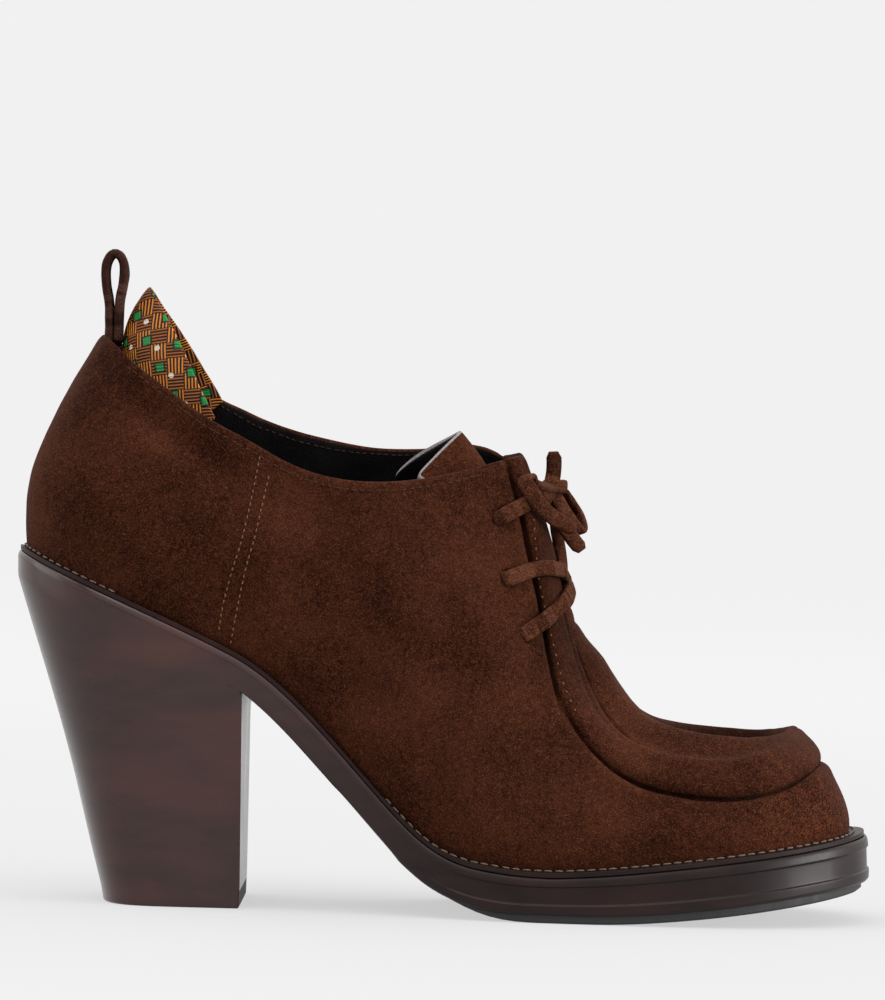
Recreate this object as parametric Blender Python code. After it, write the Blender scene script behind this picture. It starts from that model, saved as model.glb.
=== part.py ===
# Right lace-up shoe on a high block heel, suede, with a raised apron toe.
# Tables are the pattern size in millimetres: along from the heel, out from the middle,
# height from the floor.
# The four driving dimensions below grade the pattern to the wanted size.
import bpy
import bmesh
import numpy as np

LENGTH = 0.245
BALL_WIDTH = 0.0815
INSTEP = 0.115
HEEL_HEIGHT = 0.0994

GRADE_LONG = LENGTH / 0.245
GRADE_WIDE = BALL_WIDTH / 0.0815
GRADE_RISE = INSTEP / 0.115
GRADE_HEEL = HEEL_HEIGHT / 0.0994
MIDDLE_ALONG = 122.4
MIDDLE_OUT = 0.0

WALL = 2.2
GAP = 0.3
LATERAL = -1
MEDIAL = 1
HEEL_TURN = 38.0
TOE_TURN = 185.0
HEEL_SQUARE = 2.2
TOE_SQUARE = 2.3

for thing in list(bpy.data.objects):
    bpy.data.objects.remove(thing, do_unlink=True)


# tables

# top of the sole along the foot, and underside of its leather
FEATHER = (
    ("along", "height"),
    (-1.0, 100.3),
    (5.0, 97.4),
    (10.2, 94.9),
    (19.3, 91.0),
    (30.2, 86.3),
    (45.0, 79.9),
    (60.0, 73.1),
    (69.0, 68.4),
    (76.6, 62.7),
    (85.6, 54.3),
    (94.4, 45.2),
    (103.4, 35.5),
    (110.8, 27.7),
    (118.0, 21.2),
    (125.4, 16.8),
    (137.5, 14.0),
    (153.4, 13.0),
    (169.0, 14.0),
    (191.7, 16.7),
    (218.0, 20.4),
    (236.6, 23.6),
    (246.0, 25.6),
)
UNDERSIDE = (
    ("along", "height"),
    (-1.0, 91.9),
    (10.0, 86.8),
    (30.0, 77.7),
    (50.0, 68.6),
    (68.8, 59.2),
    (77.4, 51.6),
    (86.0, 42.7),
    (94.8, 33.4),
    (103.4, 24.0),
    (112.0, 15.0),
    (116.4, 11.0),
    (120.7, 8.0),
    (126.0, 5.6),
    (131.0, 3.9),
    (141.0, 2.4),
    (154.0, 2.4),
    (167.0, 2.4),
    (181.0, 3.1),
    (196.0, 4.6),
    (214.0, 7.0),
    (232.0, 9.9),
    (246.0, 12.3),
)

# half breadths of the last, a row for each section, a column for each rise above the sole
RISES = (0.0, 8.0, 20.0, 40.0, 70.0, 115.0)
OUTER_HALF = (
    ("along", "r0", "r8", "r20", "r40", "r70", "r115"),
    (38.0, 28.5, 30.5, 31.2, 29.0, 22.0, 16.0),
    (52.0, 28.5, 30.5, 31.5, 30.0, 24.8, 18.0),
    (72.0, 28.5, 30.5, 31.5, 30.5, 26.5, 20.0),
    (95.0, 30.0, 32.0, 33.0, 32.5, 29.2, 21.5),
    (120.0, 35.5, 37.5, 38.0, 36.5, 32.0, 21.0),
    (140.0, 39.5, 41.0, 40.5, 37.0, 29.0, 15.5),
    (155.0, 41.0, 42.0, 40.3, 33.5, 21.5, 9.0),
    (170.0, 41.5, 42.3, 38.5, 28.5, 15.0, 6.0),
    (185.0, 41.5, 42.0, 36.8, 26.0, 11.0, 5.0),
)
INNER_HALF = (
    ("along", "r0", "r8", "r20", "r40", "r70", "r115"),
    (38.0, 28.5, 30.5, 31.2, 29.0, 22.0, 16.0),
    (52.0, 27.3, 29.5, 31.2, 30.2, 25.2, 18.0),
    (72.0, 24.5, 27.7, 30.5, 31.0, 27.2, 20.0),
    (95.0, 22.5, 26.0, 30.0, 32.0, 29.7, 22.0),
    (120.0, 27.0, 30.0, 33.0, 34.5, 31.7, 21.0),
    (140.0, 33.0, 35.5, 36.7, 35.5, 28.5, 15.5),
    (155.0, 37.5, 39.0, 38.5, 33.0, 21.5, 9.0),
    (170.0, 40.5, 41.7, 38.3, 28.5, 15.0, 6.0),
    (185.0, 41.5, 42.3, 37.2, 26.3, 11.0, 5.0),
)
BACK = (
    ("rise", "along"),
    (0.0, 2.6),
    (8.0, 2.1),
    (17.0, 2.1),
    (26.0, 4.1),
    (34.0, 7.3),
    (43.0, 11.3),
    (52.0, 16.2),
    (64.0, 22.9),
)
TOE = (
    ("rise", "along"),
    (0.0, 239.6),
    (4.5, 240.0),
    (8.3, 239.1),
    (12.5, 237.2),
    (16.8, 234.7),
    (21.2, 231.4),
    (26.0, 226.5),
)

# collar edge, lower on the outer side
COLLAR = (
    ("along", "outer", "inner"),
    (22.4, 161.2, 161.2),
    (26.3, 158.5, 159.4),
    (31.0, 154.3, 157.0),
    (41.2, 146.9, 152.2),
    (52.5, 138.8, 145.8),
    (66.0, 131.9, 138.6),
    (78.5, 125.2, 134.4),
    (88.0, 122.3, 132.4),
    (97.0, 121.2, 131.5),
    (108.0, 121.6, 131.2),
    (118.0, 123.1, 131.6),
    (127.0, 125.3, 131.6),
    (138.3, 128.6, 129.4),
)

# apron seam from the collar down the throat and round the toe, with the inner edge of its rolled strip
SEAM = (
    ("row", "foot", "along", "height", "edge_along", "edge_out", "edge_height"),
    (0, 0.0, 138.3, 128.6, 142.6, 10.5, 129.8),
    (1, 0.0, 140.4, 123.5, 145.0, 10.5, 124.3),
    (2, 0.0, 143.8, 112.4, 148.8, 10.8, 113.0),
    (3, 0.0, 146.3, 101.7, 152.4, 11.0, 102.8),
    (4, 0.0, 148.7, 92.0, 154.4, 11.5, 93.6),
    (5, 0.0, 150.8, 81.5, 157.2, 12.2, 83.5),
    (6, 0.0, 153.0, 71.5, 160.6, 14.0, 73.4),
    (7, 156.0, 156.0, 60.5, 165.2, 17.5, 62.2),
    (8, 165.7, 165.7, 46.5, 172.0, 24.0, 52.5),
    (9, 175.0, 175.0, 40.1, 179.6, 29.0, 47.6),
    (10, 185.0, 185.0, 36.8, 187.3, 31.8, 45.8),
    (11, 200.4, 198.5, 35.4, 198.5, 32.5, 44.9),
    (12, 212.3, 209.0, 36.2, 208.0, 30.0, 45.6),
    (13, 223.5, 218.6, 38.8, 216.0, 24.0, 47.8),
    (14, 232.3, 226.5, 42.4, 221.0, 13.0, 50.9),
    (15, 239.6, 231.4, 45.5, 223.8, 0.0, 52.8),
)
# plug inside the strip: crest behind the strip, dip inside the crest, middle line
PLUG = (
    ("row", "crest_along", "crest_out", "crest_height",
     "dip_along", "dip_out", "dip_height", "mid_along", "mid_height"),
    (5, 160.2, 8.4, 83.4, 161.6, 4.2, 83.0, 162.0, 82.8),
    (6, 164.8, 9.6, 75.0, 166.4, 4.8, 75.4, 166.7, 75.4),
    (7, 170.6, 12.0, 66.2, 172.4, 6.0, 66.2, 172.8, 66.0),
    (8, 176.4, 17.5, 58.8, 178.0, 9.0, 59.2, 178.3, 58.8),
    (9, 182.5, 21.5, 56.0, 184.0, 12.5, 54.8, 184.6, 54.4),
    (10, 189.0, 23.5, 54.2, 190.0, 16.0, 51.0, 191.0, 51.0),
    (11, 198.5, 24.0, 53.0, 198.5, 18.5, 49.3, 198.5, 49.6),
    (12, 206.5, 22.5, 52.5, 205.3, 17.5, 48.6, 204.0, 49.1),
    (13, 213.5, 17.5, 52.4, 211.0, 13.5, 48.4, 208.0, 48.9),
    (14, 219.4, 10.5, 53.2, 215.8, 8.0, 48.6, 210.5, 48.8),
    (15, 222.6, 0.0, 53.8, 218.8, 0.0, 48.8, 212.5, 48.7),
)
# the crest stands a little higher on the inner side
CREST_LIFT = {LATERAL: 0.4, MEDIAL: 0.9}
# rolled strip across: share of its width, raise over the smooth wall beside the plug
# and beside the open throat
STRIP = (
    ("share", "closed", "open"),
    (0.0, -0.9, -0.9),
    (0.1, 1.2, 1.4),
    (0.36, 2.0, 2.1),
    (0.66, 2.1, 2.1),
    (0.9, 1.3, 1.9),
    (1.0, -0.2, 1.3),
)
EYELETS = (
    ("along", "height"),
    (137.8, 112.0),
    (140.8, 95.0),
    (145.2, 78.8),
)


# curves through the rows of a table

def through(keys, values, where):
    keys = np.asarray(keys, float)
    values = np.asarray(values, float)
    count = len(keys)
    steps = np.diff(keys)
    slopes = (np.diff(values, axis=0).T / steps).T
    tangents = np.empty_like(values)
    tangents[0] = slopes[0]
    tangents[-1] = slopes[-1]
    for row in range(1, count - 1):
        before = steps[row - 1]
        after = steps[row]
        tangents[row] = (slopes[row - 1] * after + slopes[row] * before) / (before + after)
    row = int(np.clip(np.searchsorted(keys, where, side="right") - 1, 0, count - 2))
    step = steps[row]
    share = (where - keys[row]) / step
    if share < 0.0:
        return values[0] + tangents[0] * (where - keys[0])
    if share > 1.0:
        return values[-1] + tangents[-1] * (where - keys[-1])
    square = share * share
    cube = square * share
    start = (2 * cube - 3 * square + 1) * values[row] + (cube - 2 * square + share) * step * tangents[row]
    end = (3 * square - 2 * cube) * values[row + 1] + (cube - square) * step * tangents[row + 1]
    return start + end


def at(table, where):
    rows = np.array(table[1:], float)
    return dict(zip(table[0], through(rows[:, 0], rows, where)))


def feather(along):
    return at(FEATHER, along)["height"]


def underside(along):
    return at(UNDERSIDE, along)["height"]


def ease(value, low, high):
    share = min(max((value - low) / (high - low), 0.0), 1.0)
    return share * share * (3.0 - 2.0 * share)


def place(point):
    along, out, height = point
    sole = feather(along)
    if height > sole:
        raised = sole * GRADE_HEEL + (height - sole) * GRADE_RISE
    else:
        raised = height * GRADE_HEEL
    return (
        (along - MIDDLE_ALONG) * GRADE_LONG * 0.001,
        (out - MIDDLE_OUT) * GRADE_WIDE * 0.001,
        raised * 0.001,
    )


# the last

def half(side, along, rise):
    table = OUTER_HALF if side == LATERAL else INNER_HALF
    section = at(table, along)
    breadths = [section[name] for name in table[0][1:]]
    return float(through(RISES, breadths, rise))


def turn(angle, square):
    around = max(np.cos(angle), 0.0) ** (2.0 / square)
    across = max(np.sin(angle), 0.0) ** (2.0 / square)
    return around, across


def heel_point(side, angle, rise):
    around, across = turn(angle, HEEL_SQUARE)
    reach = HEEL_TURN - at(BACK, rise)["along"]
    foot = HEEL_TURN - (HEEL_TURN - BACK[1][1]) * around
    out = side * half(side, HEEL_TURN, rise) * across
    return np.array((HEEL_TURN - reach * around, out, feather(foot) + rise))


def run_point(side, along, height):
    return np.array((along, side * half(side, along, height - feather(along)), height))


def toe_foot(angle):
    return TOE_TURN + (TOE[1][1] - TOE_TURN) * turn(angle, TOE_SQUARE)[0]


def toe_point(side, angle, rise):
    around, across = turn(angle, TOE_SQUARE)
    reach = at(TOE, rise)["along"] - TOE_TURN
    height = feather(toe_foot(angle)) + rise
    return np.array((TOE_TURN + reach * around, side * half(side, TOE_TURN, rise) * across, height))


def collar(side, along):
    return at(COLLAR, along)["outer" if side == LATERAL else "inner"]


# solids from rings, ladders and sheets

def make(name, points, faces, colour, roughness):
    mesh = bpy.data.meshes.new(name)
    mesh.from_pydata([place(point) for point in points], [], faces)
    shape = bmesh.new()
    shape.from_mesh(mesh)
    bmesh.ops.remove_doubles(shape, verts=shape.verts, dist=1e-7)
    bmesh.ops.recalc_face_normals(shape, faces=shape.faces)
    if shape.calc_volume(signed=True) < 0.0:
        bmesh.ops.reverse_faces(shape, faces=shape.faces)
    shape.to_mesh(mesh)
    shape.free()
    thing = bpy.data.objects.new(name, mesh)
    bpy.context.scene.collection.objects.link(thing)
    dress(thing, colour, roughness)
    return thing


def dress(thing, colour, roughness):
    material = bpy.data.materials.new(thing.name)
    material.use_nodes = True
    shader = material.node_tree.nodes["Principled BSDF"]
    shader.inputs["Base Color"].default_value = (*colour, 1.0)
    shader.inputs["Roughness"].default_value = roughness
    thing.data.materials.append(material)


def mean_normals(points, faces):
    normals = np.zeros_like(points)
    for face in faces:
        corners = points[list(face)]
        normal = np.cross(corners[2] - corners[0], corners[3] - corners[1])
        for corner in face:
            normals[corner] += normal
    lengths = np.linalg.norm(normals, axis=1)
    return normals / lengths[:, None]


def thicken(points, faces, raised, dropped, level=()):
    points = np.array(points, float)
    normals = mean_normals(points, faces)
    count = len(points)
    front = points + normals * np.asarray(raised)[:, None]
    rear = points - normals * np.asarray(dropped)[:, None]
    for index in level:
        flat = normals[index] * (1.0, 1.0, 0.0)
        flat /= np.linalg.norm(flat)
        rear[index] = points[index] - flat * dropped[index]
        rear[index][2] = max(feather(rear[index][0]), feather(points[index][0]))
    solid = [tuple(face) for face in faces]
    solid += [tuple(corner + count for corner in reversed(face)) for face in faces]
    edges = {}
    for face in faces:
        for start, end in zip(face, face[1:] + face[:1]):
            edges[(start, end)] = True
    for start, end in edges:
        if (end, start) not in edges:
            solid.append((end, start, start + count, end + count))
    return np.concatenate((front, rear)), solid


def ladder(levels):
    size = len(levels[0])
    points = [point for level in levels for point in level]
    faces = []
    for row in range(len(levels) - 1):
        low = row * size
        high = low + size
        for step in range(size):
            after = (step + 1) % size
            faces.append((low + step, low + after, high + after, high + step))
    for base in (0, (len(levels) - 1) * size):
        for step in range((size - 1) // 2):
            corners = (base + step, base + step + 1, base + size - 2 - step, base + size - 1 - step)
            if corners[1] == corners[2]:
                corners = (corners[0], corners[1], corners[3])
            faces.append(corners)
    return points, faces


def strap(path, fronts, width, depth):
    path = np.array(path, float)
    fronts = np.array(fronts, float)
    half_width = 0.5 * width
    half_depth = 0.5 * depth
    round_off = 0.35 * depth
    corners = (
        (-half_width + round_off, -half_depth),
        (half_width - round_off, -half_depth),
        (half_width, 0.0),
        (half_width - round_off, half_depth),
        (-half_width + round_off, half_depth),
        (-half_width, 0.0),
    )
    strap_points = []
    count = len(path)
    for step in range(count):
        ahead = path[min(step + 1, count - 1)] - path[max(step - 1, 0)]
        ahead /= np.linalg.norm(ahead)
        front = fronts[step] - ahead * np.dot(fronts[step], ahead)
        front /= np.linalg.norm(front)
        beside = np.cross(ahead, front)
        for across, through_depth in corners:
            strap_points.append(path[step] + beside * across + front * through_depth)
    size = len(corners)
    strap_faces = []
    for step in range(count - 1):
        for corner in range(size):
            low = step * size
            after = (corner + 1) % size
            strap_faces.append((low + corner, low + after, low + size + after, low + size + corner))
    strap_faces.append(tuple(range(size)))
    last = (count - 1) * size
    strap_faces.append(tuple(range(last + size - 1, last - 1, -1)))
    return strap_points, strap_faces


# stations round the foot, from the back of the heel to the tip of the toe
HEEL_STEPS = 7
RUN_STEPS = 19
FORE_STEPS = 4
TOE_STEPS = 10
LOW_ROWS = 6
HIGH_ROWS = 10
SEAM_STATION = HEEL_STEPS + RUN_STEPS
LAST_STATION = SEAM_STATION + FORE_STEPS + TOE_STEPS
TOP_ROW = LOW_ROWS + HIGH_ROWS
RUN_LONG = SEAM[8][1] - HEEL_TURN
RUN_ALONG = (
    38, 47, 56, 63, 66.6, 73, 80, 86.5, 93, 99.5, 106, 112, 118.5, 125, 131, 137.5, 145, 151.8, 154, 156,
)
run_shares = [(along - HEEL_TURN) / RUN_LONG for along in RUN_ALONG]


def heel_angle(station):
    return 0.5 * np.pi * station / HEEL_STEPS


def toe_angle(station):
    return 0.5 * np.pi * (LAST_STATION - station) / TOE_STEPS


def low_rise(station):
    if station <= HEEL_STEPS:
        return 24.0
    share = run_shares[station - HEEL_STEPS]
    return 24.0 + (SEAM[8][3] - feather(SEAM[8][1]) - 24.0) * share ** 1.5


def seam_row(station):
    foot = [row[1] for row in SEAM[8:]]
    number = [row[0] for row in SEAM[8:]]
    if station <= SEAM_STATION + FORE_STEPS:
        along = SEAM[8][1] + (TOE_TURN - SEAM[8][1]) * (station - SEAM_STATION) / FORE_STEPS
    else:
        along = toe_foot(toe_angle(station))
    return float(through(foot, number, along))


def fore_rise(station):
    line = at(SEAM, seam_row(station))
    return line["height"] - feather(line["foot"])


def wall_low(side, station, row):
    share = row / LOW_ROWS
    if station <= SEAM_STATION:
        top = low_rise(station)
        rise = top * share
        if row == LOW_ROWS - 1:
            rise = min(rise + 0.55 * top / LOW_ROWS, max(rise, top - 2.4))
        if station <= HEEL_STEPS:
            return heel_point(side, heel_angle(station), rise)
        along = HEEL_TURN + RUN_LONG * run_shares[station - HEEL_STEPS]
        return run_point(side, along, feather(along) + rise)
    top = fore_rise(station)
    rise = (0.0, 0.22, 0.45, 0.68, 1.0 - 4.2 / top, 1.0 - 2.0 / top, 1.0)[row] * top
    if station <= SEAM_STATION + FORE_STEPS:
        along = SEAM[8][1] + (TOE_TURN - SEAM[8][1]) * (station - SEAM_STATION) / FORE_STEPS
        return run_point(side, along, feather(along) + rise)
    return toe_point(side, toe_angle(station), rise)


def collar_rise(side, angle):
    around = turn(angle, HEEL_SQUARE)[0]
    foot = HEEL_TURN - (HEEL_TURN - BACK[1][1]) * around
    rise = 63.0
    for step in range(6):
        along = HEEL_TURN - (HEEL_TURN - at(BACK, rise)["along"]) * around
        rise = collar(side, along) - feather(foot)
    return rise


def wall_high(side, station, row):
    share = (row - LOW_ROWS) / HIGH_ROWS
    if station <= HEEL_STEPS:
        angle = heel_angle(station)
        low = low_rise(station)
        return heel_point(side, angle, low + (collar_rise(side, angle) - low) * share)
    forward = run_shares[station - HEEL_STEPS]
    low_along = HEEL_TURN + RUN_LONG * forward
    low_height = feather(low_along) + low_rise(station)
    top_along = HEEL_TURN + (SEAM[1][2] - HEEL_TURN) * forward
    top_height = collar(side, top_along)
    line = at(SEAM, 7.0 * (1.0 - share))
    straight_along = SEAM[8][2] + (SEAM[1][2] - SEAM[8][2]) * share
    straight_height = SEAM[8][3] + (collar(side, SEAM[1][2]) - SEAM[8][3]) * share
    bend = forward ** 3
    along = low_along + (top_along - low_along) * share + bend * (line["along"] - straight_along)
    lift = collar(side, SEAM[1][2]) - SEAM[1][3]
    height = low_height + (top_height - low_height) * share
    height += bend * (line["height"] + lift * share * share - straight_height)
    return run_point(side, along, height)


# upper: one shell of wall, rolled strip and plug
strip_shares = [row[0] for row in STRIP[1:]]
PLUG_START = 7
THROAT_STEPS = HIGH_ROWS
STRIP_STEPS = THROAT_STEPS + LAST_STATION - SEAM_STATION
points = []
raised = []
dropped = []
numbers = {}
faces = []
feet = []


def put(key, point, lift=0.0, drop=WALL):
    if key not in numbers:
        numbers[key] = len(points)
        points.append(np.array(point, float))
        raised.append(lift)
        dropped.append(drop)
    return numbers[key]


def wall_key(side, station, row):
    middle = station in (0, LAST_STATION)
    return ("wall", 0 if middle else side, station, row)


def wall_lift(station, row):
    seam = (station == SEAM_STATION and row >= LOW_ROWS) or (station >= SEAM_STATION and row == LOW_ROWS)
    lip_up = station == SEAM_STATION - 1 and row >= LOW_ROWS - 1
    lip_along = row == LOW_ROWS - 1 and station >= SEAM_STATION - 1
    if seam:
        return STRIP[1][1]
    return 0.7 if lip_up or lip_along else 0.0


def strip_row(step):
    if step <= THROAT_STEPS:
        return 7.0 * step / THROAT_STEPS
    return seam_row(SEAM_STATION + step - THROAT_STEPS)


def seam_key(side, step):
    if step <= THROAT_STEPS:
        return wall_key(side, SEAM_STATION, TOP_ROW - step)
    return wall_key(side, SEAM_STATION + step - THROAT_STEPS, LOW_ROWS)


def quads(grid, side):
    for across in range(len(grid) - 1):
        for step in range(len(grid[0]) - 1):
            here = grid[across]
            beyond = grid[across + 1]
            face = (here[step], beyond[step], beyond[step + 1], here[step + 1])
            if side == MEDIAL:
                face = face[::-1]
            if len(set(face)) == 4:
                faces.append(face)


for side in (LATERAL, MEDIAL):
    low = []
    for station in range(LAST_STATION + 1):
        column = []
        for row in range(LOW_ROWS + 1):
            key = wall_key(side, station, row)
            column.append(put(key, wall_low(side, station, row), wall_lift(station, row)))
        low.append(column)
        feet.append(column[0])
    quads(low, side)
    high = []
    for station in range(SEAM_STATION + 1):
        column = []
        for row in range(LOW_ROWS, TOP_ROW + 1):
            key = wall_key(side, station, row)
            column.append(put(key, wall_high(side, station, row), wall_lift(station, row)))
        high.append(column)
    quads(high, side)
    strip = []
    plug = []
    for step in range(STRIP_STEPS + 1):
        number = strip_row(step)
        line = at(SEAM, number)
        owner = 0 if step == STRIP_STEPS else side
        edge = np.array((line["edge_along"], side * line["edge_out"], line["edge_height"]))
        if owner == 0:
            edge[1] = 0.0
        seam_index = numbers[seam_key(side, step)]
        seam = points[seam_index]
        if step <= THROAT_STEPS:
            edge[2] += (collar(side, SEAM[1][2]) - SEAM[1][3]) * (1.0 - step / THROAT_STEPS) ** 2
        closed = ease(step, PLUG_START - 1.5, PLUG_START + 1.0)
        column = [seam_index]
        for place_across in range(1, len(strip_shares)):
            share = strip_shares[place_across]
            lift = STRIP[place_across + 1][2] * (1.0 - closed) + STRIP[place_across + 1][1] * closed
            column.append(put(("strip", owner, step, place_across), seam + (edge - seam) * share, lift))
        strip.append(column)
        if step < PLUG_START:
            continue
        form = at(PLUG, number)
        crest = np.array((form["crest_along"], side * form["crest_out"], form["crest_height"]))
        crest[2] += CREST_LIFT[side] * ease(number, 8.5, 10.5) * (1.0 - ease(number, 13.0, 15.0))
        dip = np.array((form["dip_along"], side * form["dip_out"], form["dip_height"]))
        middle = np.array((form["mid_along"], 0.0, form["mid_height"]))
        if owner == 0:
            crest[1] = 0.0
            dip[1] = 0.0
        line_points = np.array((edge, crest, dip, middle))
        column = [column[-1]]
        for part in range(1, 7):
            spot = through((0.0, 2.0, 4.0, 6.0), line_points, part)
            drop = WALL + (0.0, 0.6, 1.6, 0.8, 0.0, 0.0, 0.0)[part] * ease(number, 8.0, 10.0)
            name = ("plug", 0 if part == 6 else owner, step, part)
            column.append(put(name, spot, 0.0, drop))
        plug.append(column)
    quads(strip, side)
    quads(plug, side)

SUEDE = (0.085, 0.034, 0.019)
shell_points, shell_faces = thicken(points, faces, raised, dropped, sorted(set(feet)))
upper = make("upper", shell_points, shell_faces, SUEDE, 0.95)


# eyelets: six round holes punched through the facings
def punch(side, along, height, radius):
    centre = run_point(side, along, height)
    ahead = run_point(side, along + 2.0, height) - centre
    above = run_point(side, along, height + 2.0) - centre
    ahead /= np.linalg.norm(ahead)
    out = np.cross(ahead, above) * -side
    out /= np.linalg.norm(out)
    rise = np.cross(out, ahead)
    ring = []
    for depth in (-5.0, 5.0):
        for step in range(10):
            angle = 2.0 * np.pi * step / 10
            ring.append(centre + out * depth + radius * (ahead * np.cos(angle) + rise * np.sin(angle)))
    return ring, out


cut_points = []
cut_faces = []
for side in (LATERAL, MEDIAL):
    for along, height in EYELETS[1:]:
        ring, out = punch(side, along, height, 1.7)
        start = len(cut_points)
        cut_points += ring
        cut_faces.append(tuple(range(start, start + 10)))
        cut_faces.append(tuple(range(start + 19, start + 9, -1)))
        for step in range(10):
            after = (step + 1) % 10
            cut_faces.append((start + step, start + 10 + step, start + 10 + after, start + after))
cutter = make("eyelet_cutters", cut_points, cut_faces, SUEDE, 0.9)
cutter.hide_render = True
cutter.display_type = "WIRE"
hole = upper.modifiers.new("eyelets", "BOOLEAN")
hole.operation = "DIFFERENCE"
hole.solver = "EXACT"
hole.object = cutter


# outline of the foot in plan, as one loop from the back along the outer side and home along the inner
def foot_loop():
    outer = [points[numbers[wall_key(LATERAL, station, 0)]][:2] for station in range(LAST_STATION + 1)]
    inner = [points[numbers[wall_key(MEDIAL, station, 0)]][:2] for station in range(LAST_STATION - 1, 0, -1)]
    return np.array(outer + inner)


def swell(loop, amounts):
    before = np.roll(loop, 1, axis=0)
    after = np.roll(loop, -1, axis=0)
    along = after - before
    along /= np.linalg.norm(along, axis=1)[:, None]
    normal = np.stack((along[:, 1], -along[:, 0]), axis=1)
    if np.dot(normal[0], (-1.0, 0.0)) < 0.0:
        normal = -normal
    return loop + normal * np.asarray(amounts)[:, None]


def margin(along):
    return 2.5 + 2.1 * ease(along, 95.0, 150.0) + 0.6 * ease(along, 215.0, 240.0)


FOOT = foot_loop()
MARGINS = np.array([margin(along) for along, out in FOOT])


def level(inset, height):
    loop = swell(FOOT, MARGINS - np.array([inset(along) for along, out in FOOT]))
    return [(along, out, height(along)) for along, out in loop]


# outsole: edge flush with the heel, round at the waist, with rim, sunk band and lower band at the forefoot
EDGE = (
    ("depth", "flush", "round", "banded"),
    (0.0, 1.0, 1.0, 1.3),
    (0.07, 0.4, 0.4, 0.7),
    (0.24, 0.0, 0.0, 0.4),
    (0.27, 0.0, 0.0, 0.9),
    (0.72, 0.1, 0.3, 0.6),
    (0.75, 0.1, 0.4, 0.0),
    (0.94, 0.2, 1.1, 0.0),
    (1.0, 0.2, 1.7, 0.7),
)
FLUSH_INSET = EDGE[-1][1]


def edge_level(depth, flush_inset, round_inset, banded_inset):
    def inset(along):
        heel = 1.0 - ease(along, 64.0, 80.0)
        fore = ease(along, 112.0, 138.0)
        return flush_inset * heel + round_inset * (1.0 - heel - fore) + banded_inset * fore

    def height(along):
        top = feather(along) - GAP - 0.1
        return top + (underside(along) - top) * depth

    return level(inset, height)


LEATHER = (0.045, 0.027, 0.023)
sole_points, sole_faces = ladder([edge_level(*row) for row in EDGE[1:]])
make("outsole", sole_points, sole_faces, LEATHER, 0.35)


# welt: thin strip between the foot of the upper and the rim of the sole
def ring_solid(levels):
    size = len(levels[0])
    ring_points = [point for loop in levels for point in loop]
    ring_faces = []
    for row in range(len(levels)):
        low = row * size
        high = (row + 1) % len(levels) * size
        for step in range(size):
            after = (step + 1) % size
            ring_faces.append((low + step, low + after, high + after, high + step))
    return ring_points, ring_faces


welt_levels = [
    level(lambda along: 0.7, lambda along: feather(along)),
    level(lambda along: 0.7, lambda along: feather(along) + 1.2),
    level(lambda along: margin(along) - 0.75, lambda along: feather(along) + 1.3),
    level(lambda along: margin(along) - 0.7, lambda along: feather(along)),
]
make("welt", *ring_solid(welt_levels), (0.075, 0.045, 0.032), 0.6)


# insole: board lying on the sole inside the upper
insole_levels = [
    level(lambda along: margin(along) + WALL + 0.5, lambda along: feather(along) + 0.15),
    level(lambda along: margin(along) + WALL + 0.5, lambda along: feather(along) + 2.4),
]
make("insole", *ladder(insole_levels), (0.02, 0.018, 0.018), 0.7)


# rubber forepart: flat where it bears, lifting towards toe and waist
RUBBER_FROM = 122.0
SPRING = 9.9
FLAT_FROM = 140.0
FLAT_TO = 168.0


def tread(along):
    if along < FLAT_FROM:
        return 0.0163 * (FLAT_FROM - along) ** 2
    if along > FLAT_TO:
        return SPRING * ((along - FLAT_TO) / (245.0 - FLAT_TO)) ** 1.5
    return 0.0


def fore_loop(inset):
    loop = swell(FOOT, MARGINS - inset)
    count = LAST_STATION + 1
    outer = [spot for spot in loop[:count] if spot[0] > RUBBER_FROM]
    inner = [spot for spot in loop[count:] if spot[0] > RUBBER_FROM]
    return outer, inner


def fore_level(inset, height):
    outer, inner = fore_loop(inset)
    outer = list(outer)
    inner = list(inner)
    if len(inner) < len(outer) - 1:
        inner.append(np.array((outer[0][0], -outer[0][1])))
    chain = outer + inner
    return [(along, out, height(along)) for along, out in chain]


rubber_levels = [
    fore_level(1.1, lambda along: underside(along) - GAP),
    fore_level(1.1, lambda along: tread(along) + 0.5),
    fore_level(1.6, tread),
]
make("rubber_forepart", *ladder(rubber_levels), (0.012, 0.012, 0.013), 0.8)


# heel: raked back, upright breast, D plan that narrows to the top lift
BREAST_TOP = RUN_ALONG[4]
BREAST_FOOT = 67.4
HEEL_BACK_FOOT = 27.9
HEEL_FOOT_TURN = 46.0
HEEL_FOOT_HALF = 27.0
LIFT = 5.0
HOLLOW = 0.7


HEEL_STATIONS = HEEL_STEPS + RUN_ALONG.index(BREAST_TOP)


def heel_loop(outer, inner):
    return np.array(outer[::-1] + inner[1:])


def heel_top_loop():
    loop = swell(FOOT, MARGINS - FLUSH_INSET)
    outer = [loop[station] for station in range(HEEL_STATIONS + 1)]
    inner = [loop[-station] for station in range(HEEL_STATIONS + 1)]
    return heel_loop(outer, inner)


def heel_foot_loop(inset):
    sides = []
    for side in (LATERAL, MEDIAL):
        spots = []
        for step in range(HEEL_STEPS + 1):
            around, across = turn(heel_angle(step), 2.7)
            back = HEEL_FOOT_TURN - (HEEL_FOOT_TURN - HEEL_BACK_FOOT - inset) * around
            spots.append((back, side * (HEEL_FOOT_HALF - inset) * across))
        for along in RUN_ALONG[1:HEEL_STATIONS - HEEL_STEPS + 1]:
            share = (along - HEEL_TURN) / (BREAST_TOP - HEEL_TURN)
            foot_along = HEEL_FOOT_TURN + (BREAST_FOOT - inset - HEEL_FOOT_TURN) * share
            spots.append((foot_along, side * (HEEL_FOOT_HALF - inset - share)))
        sides.append(spots)
    return heel_loop(*sides)


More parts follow.
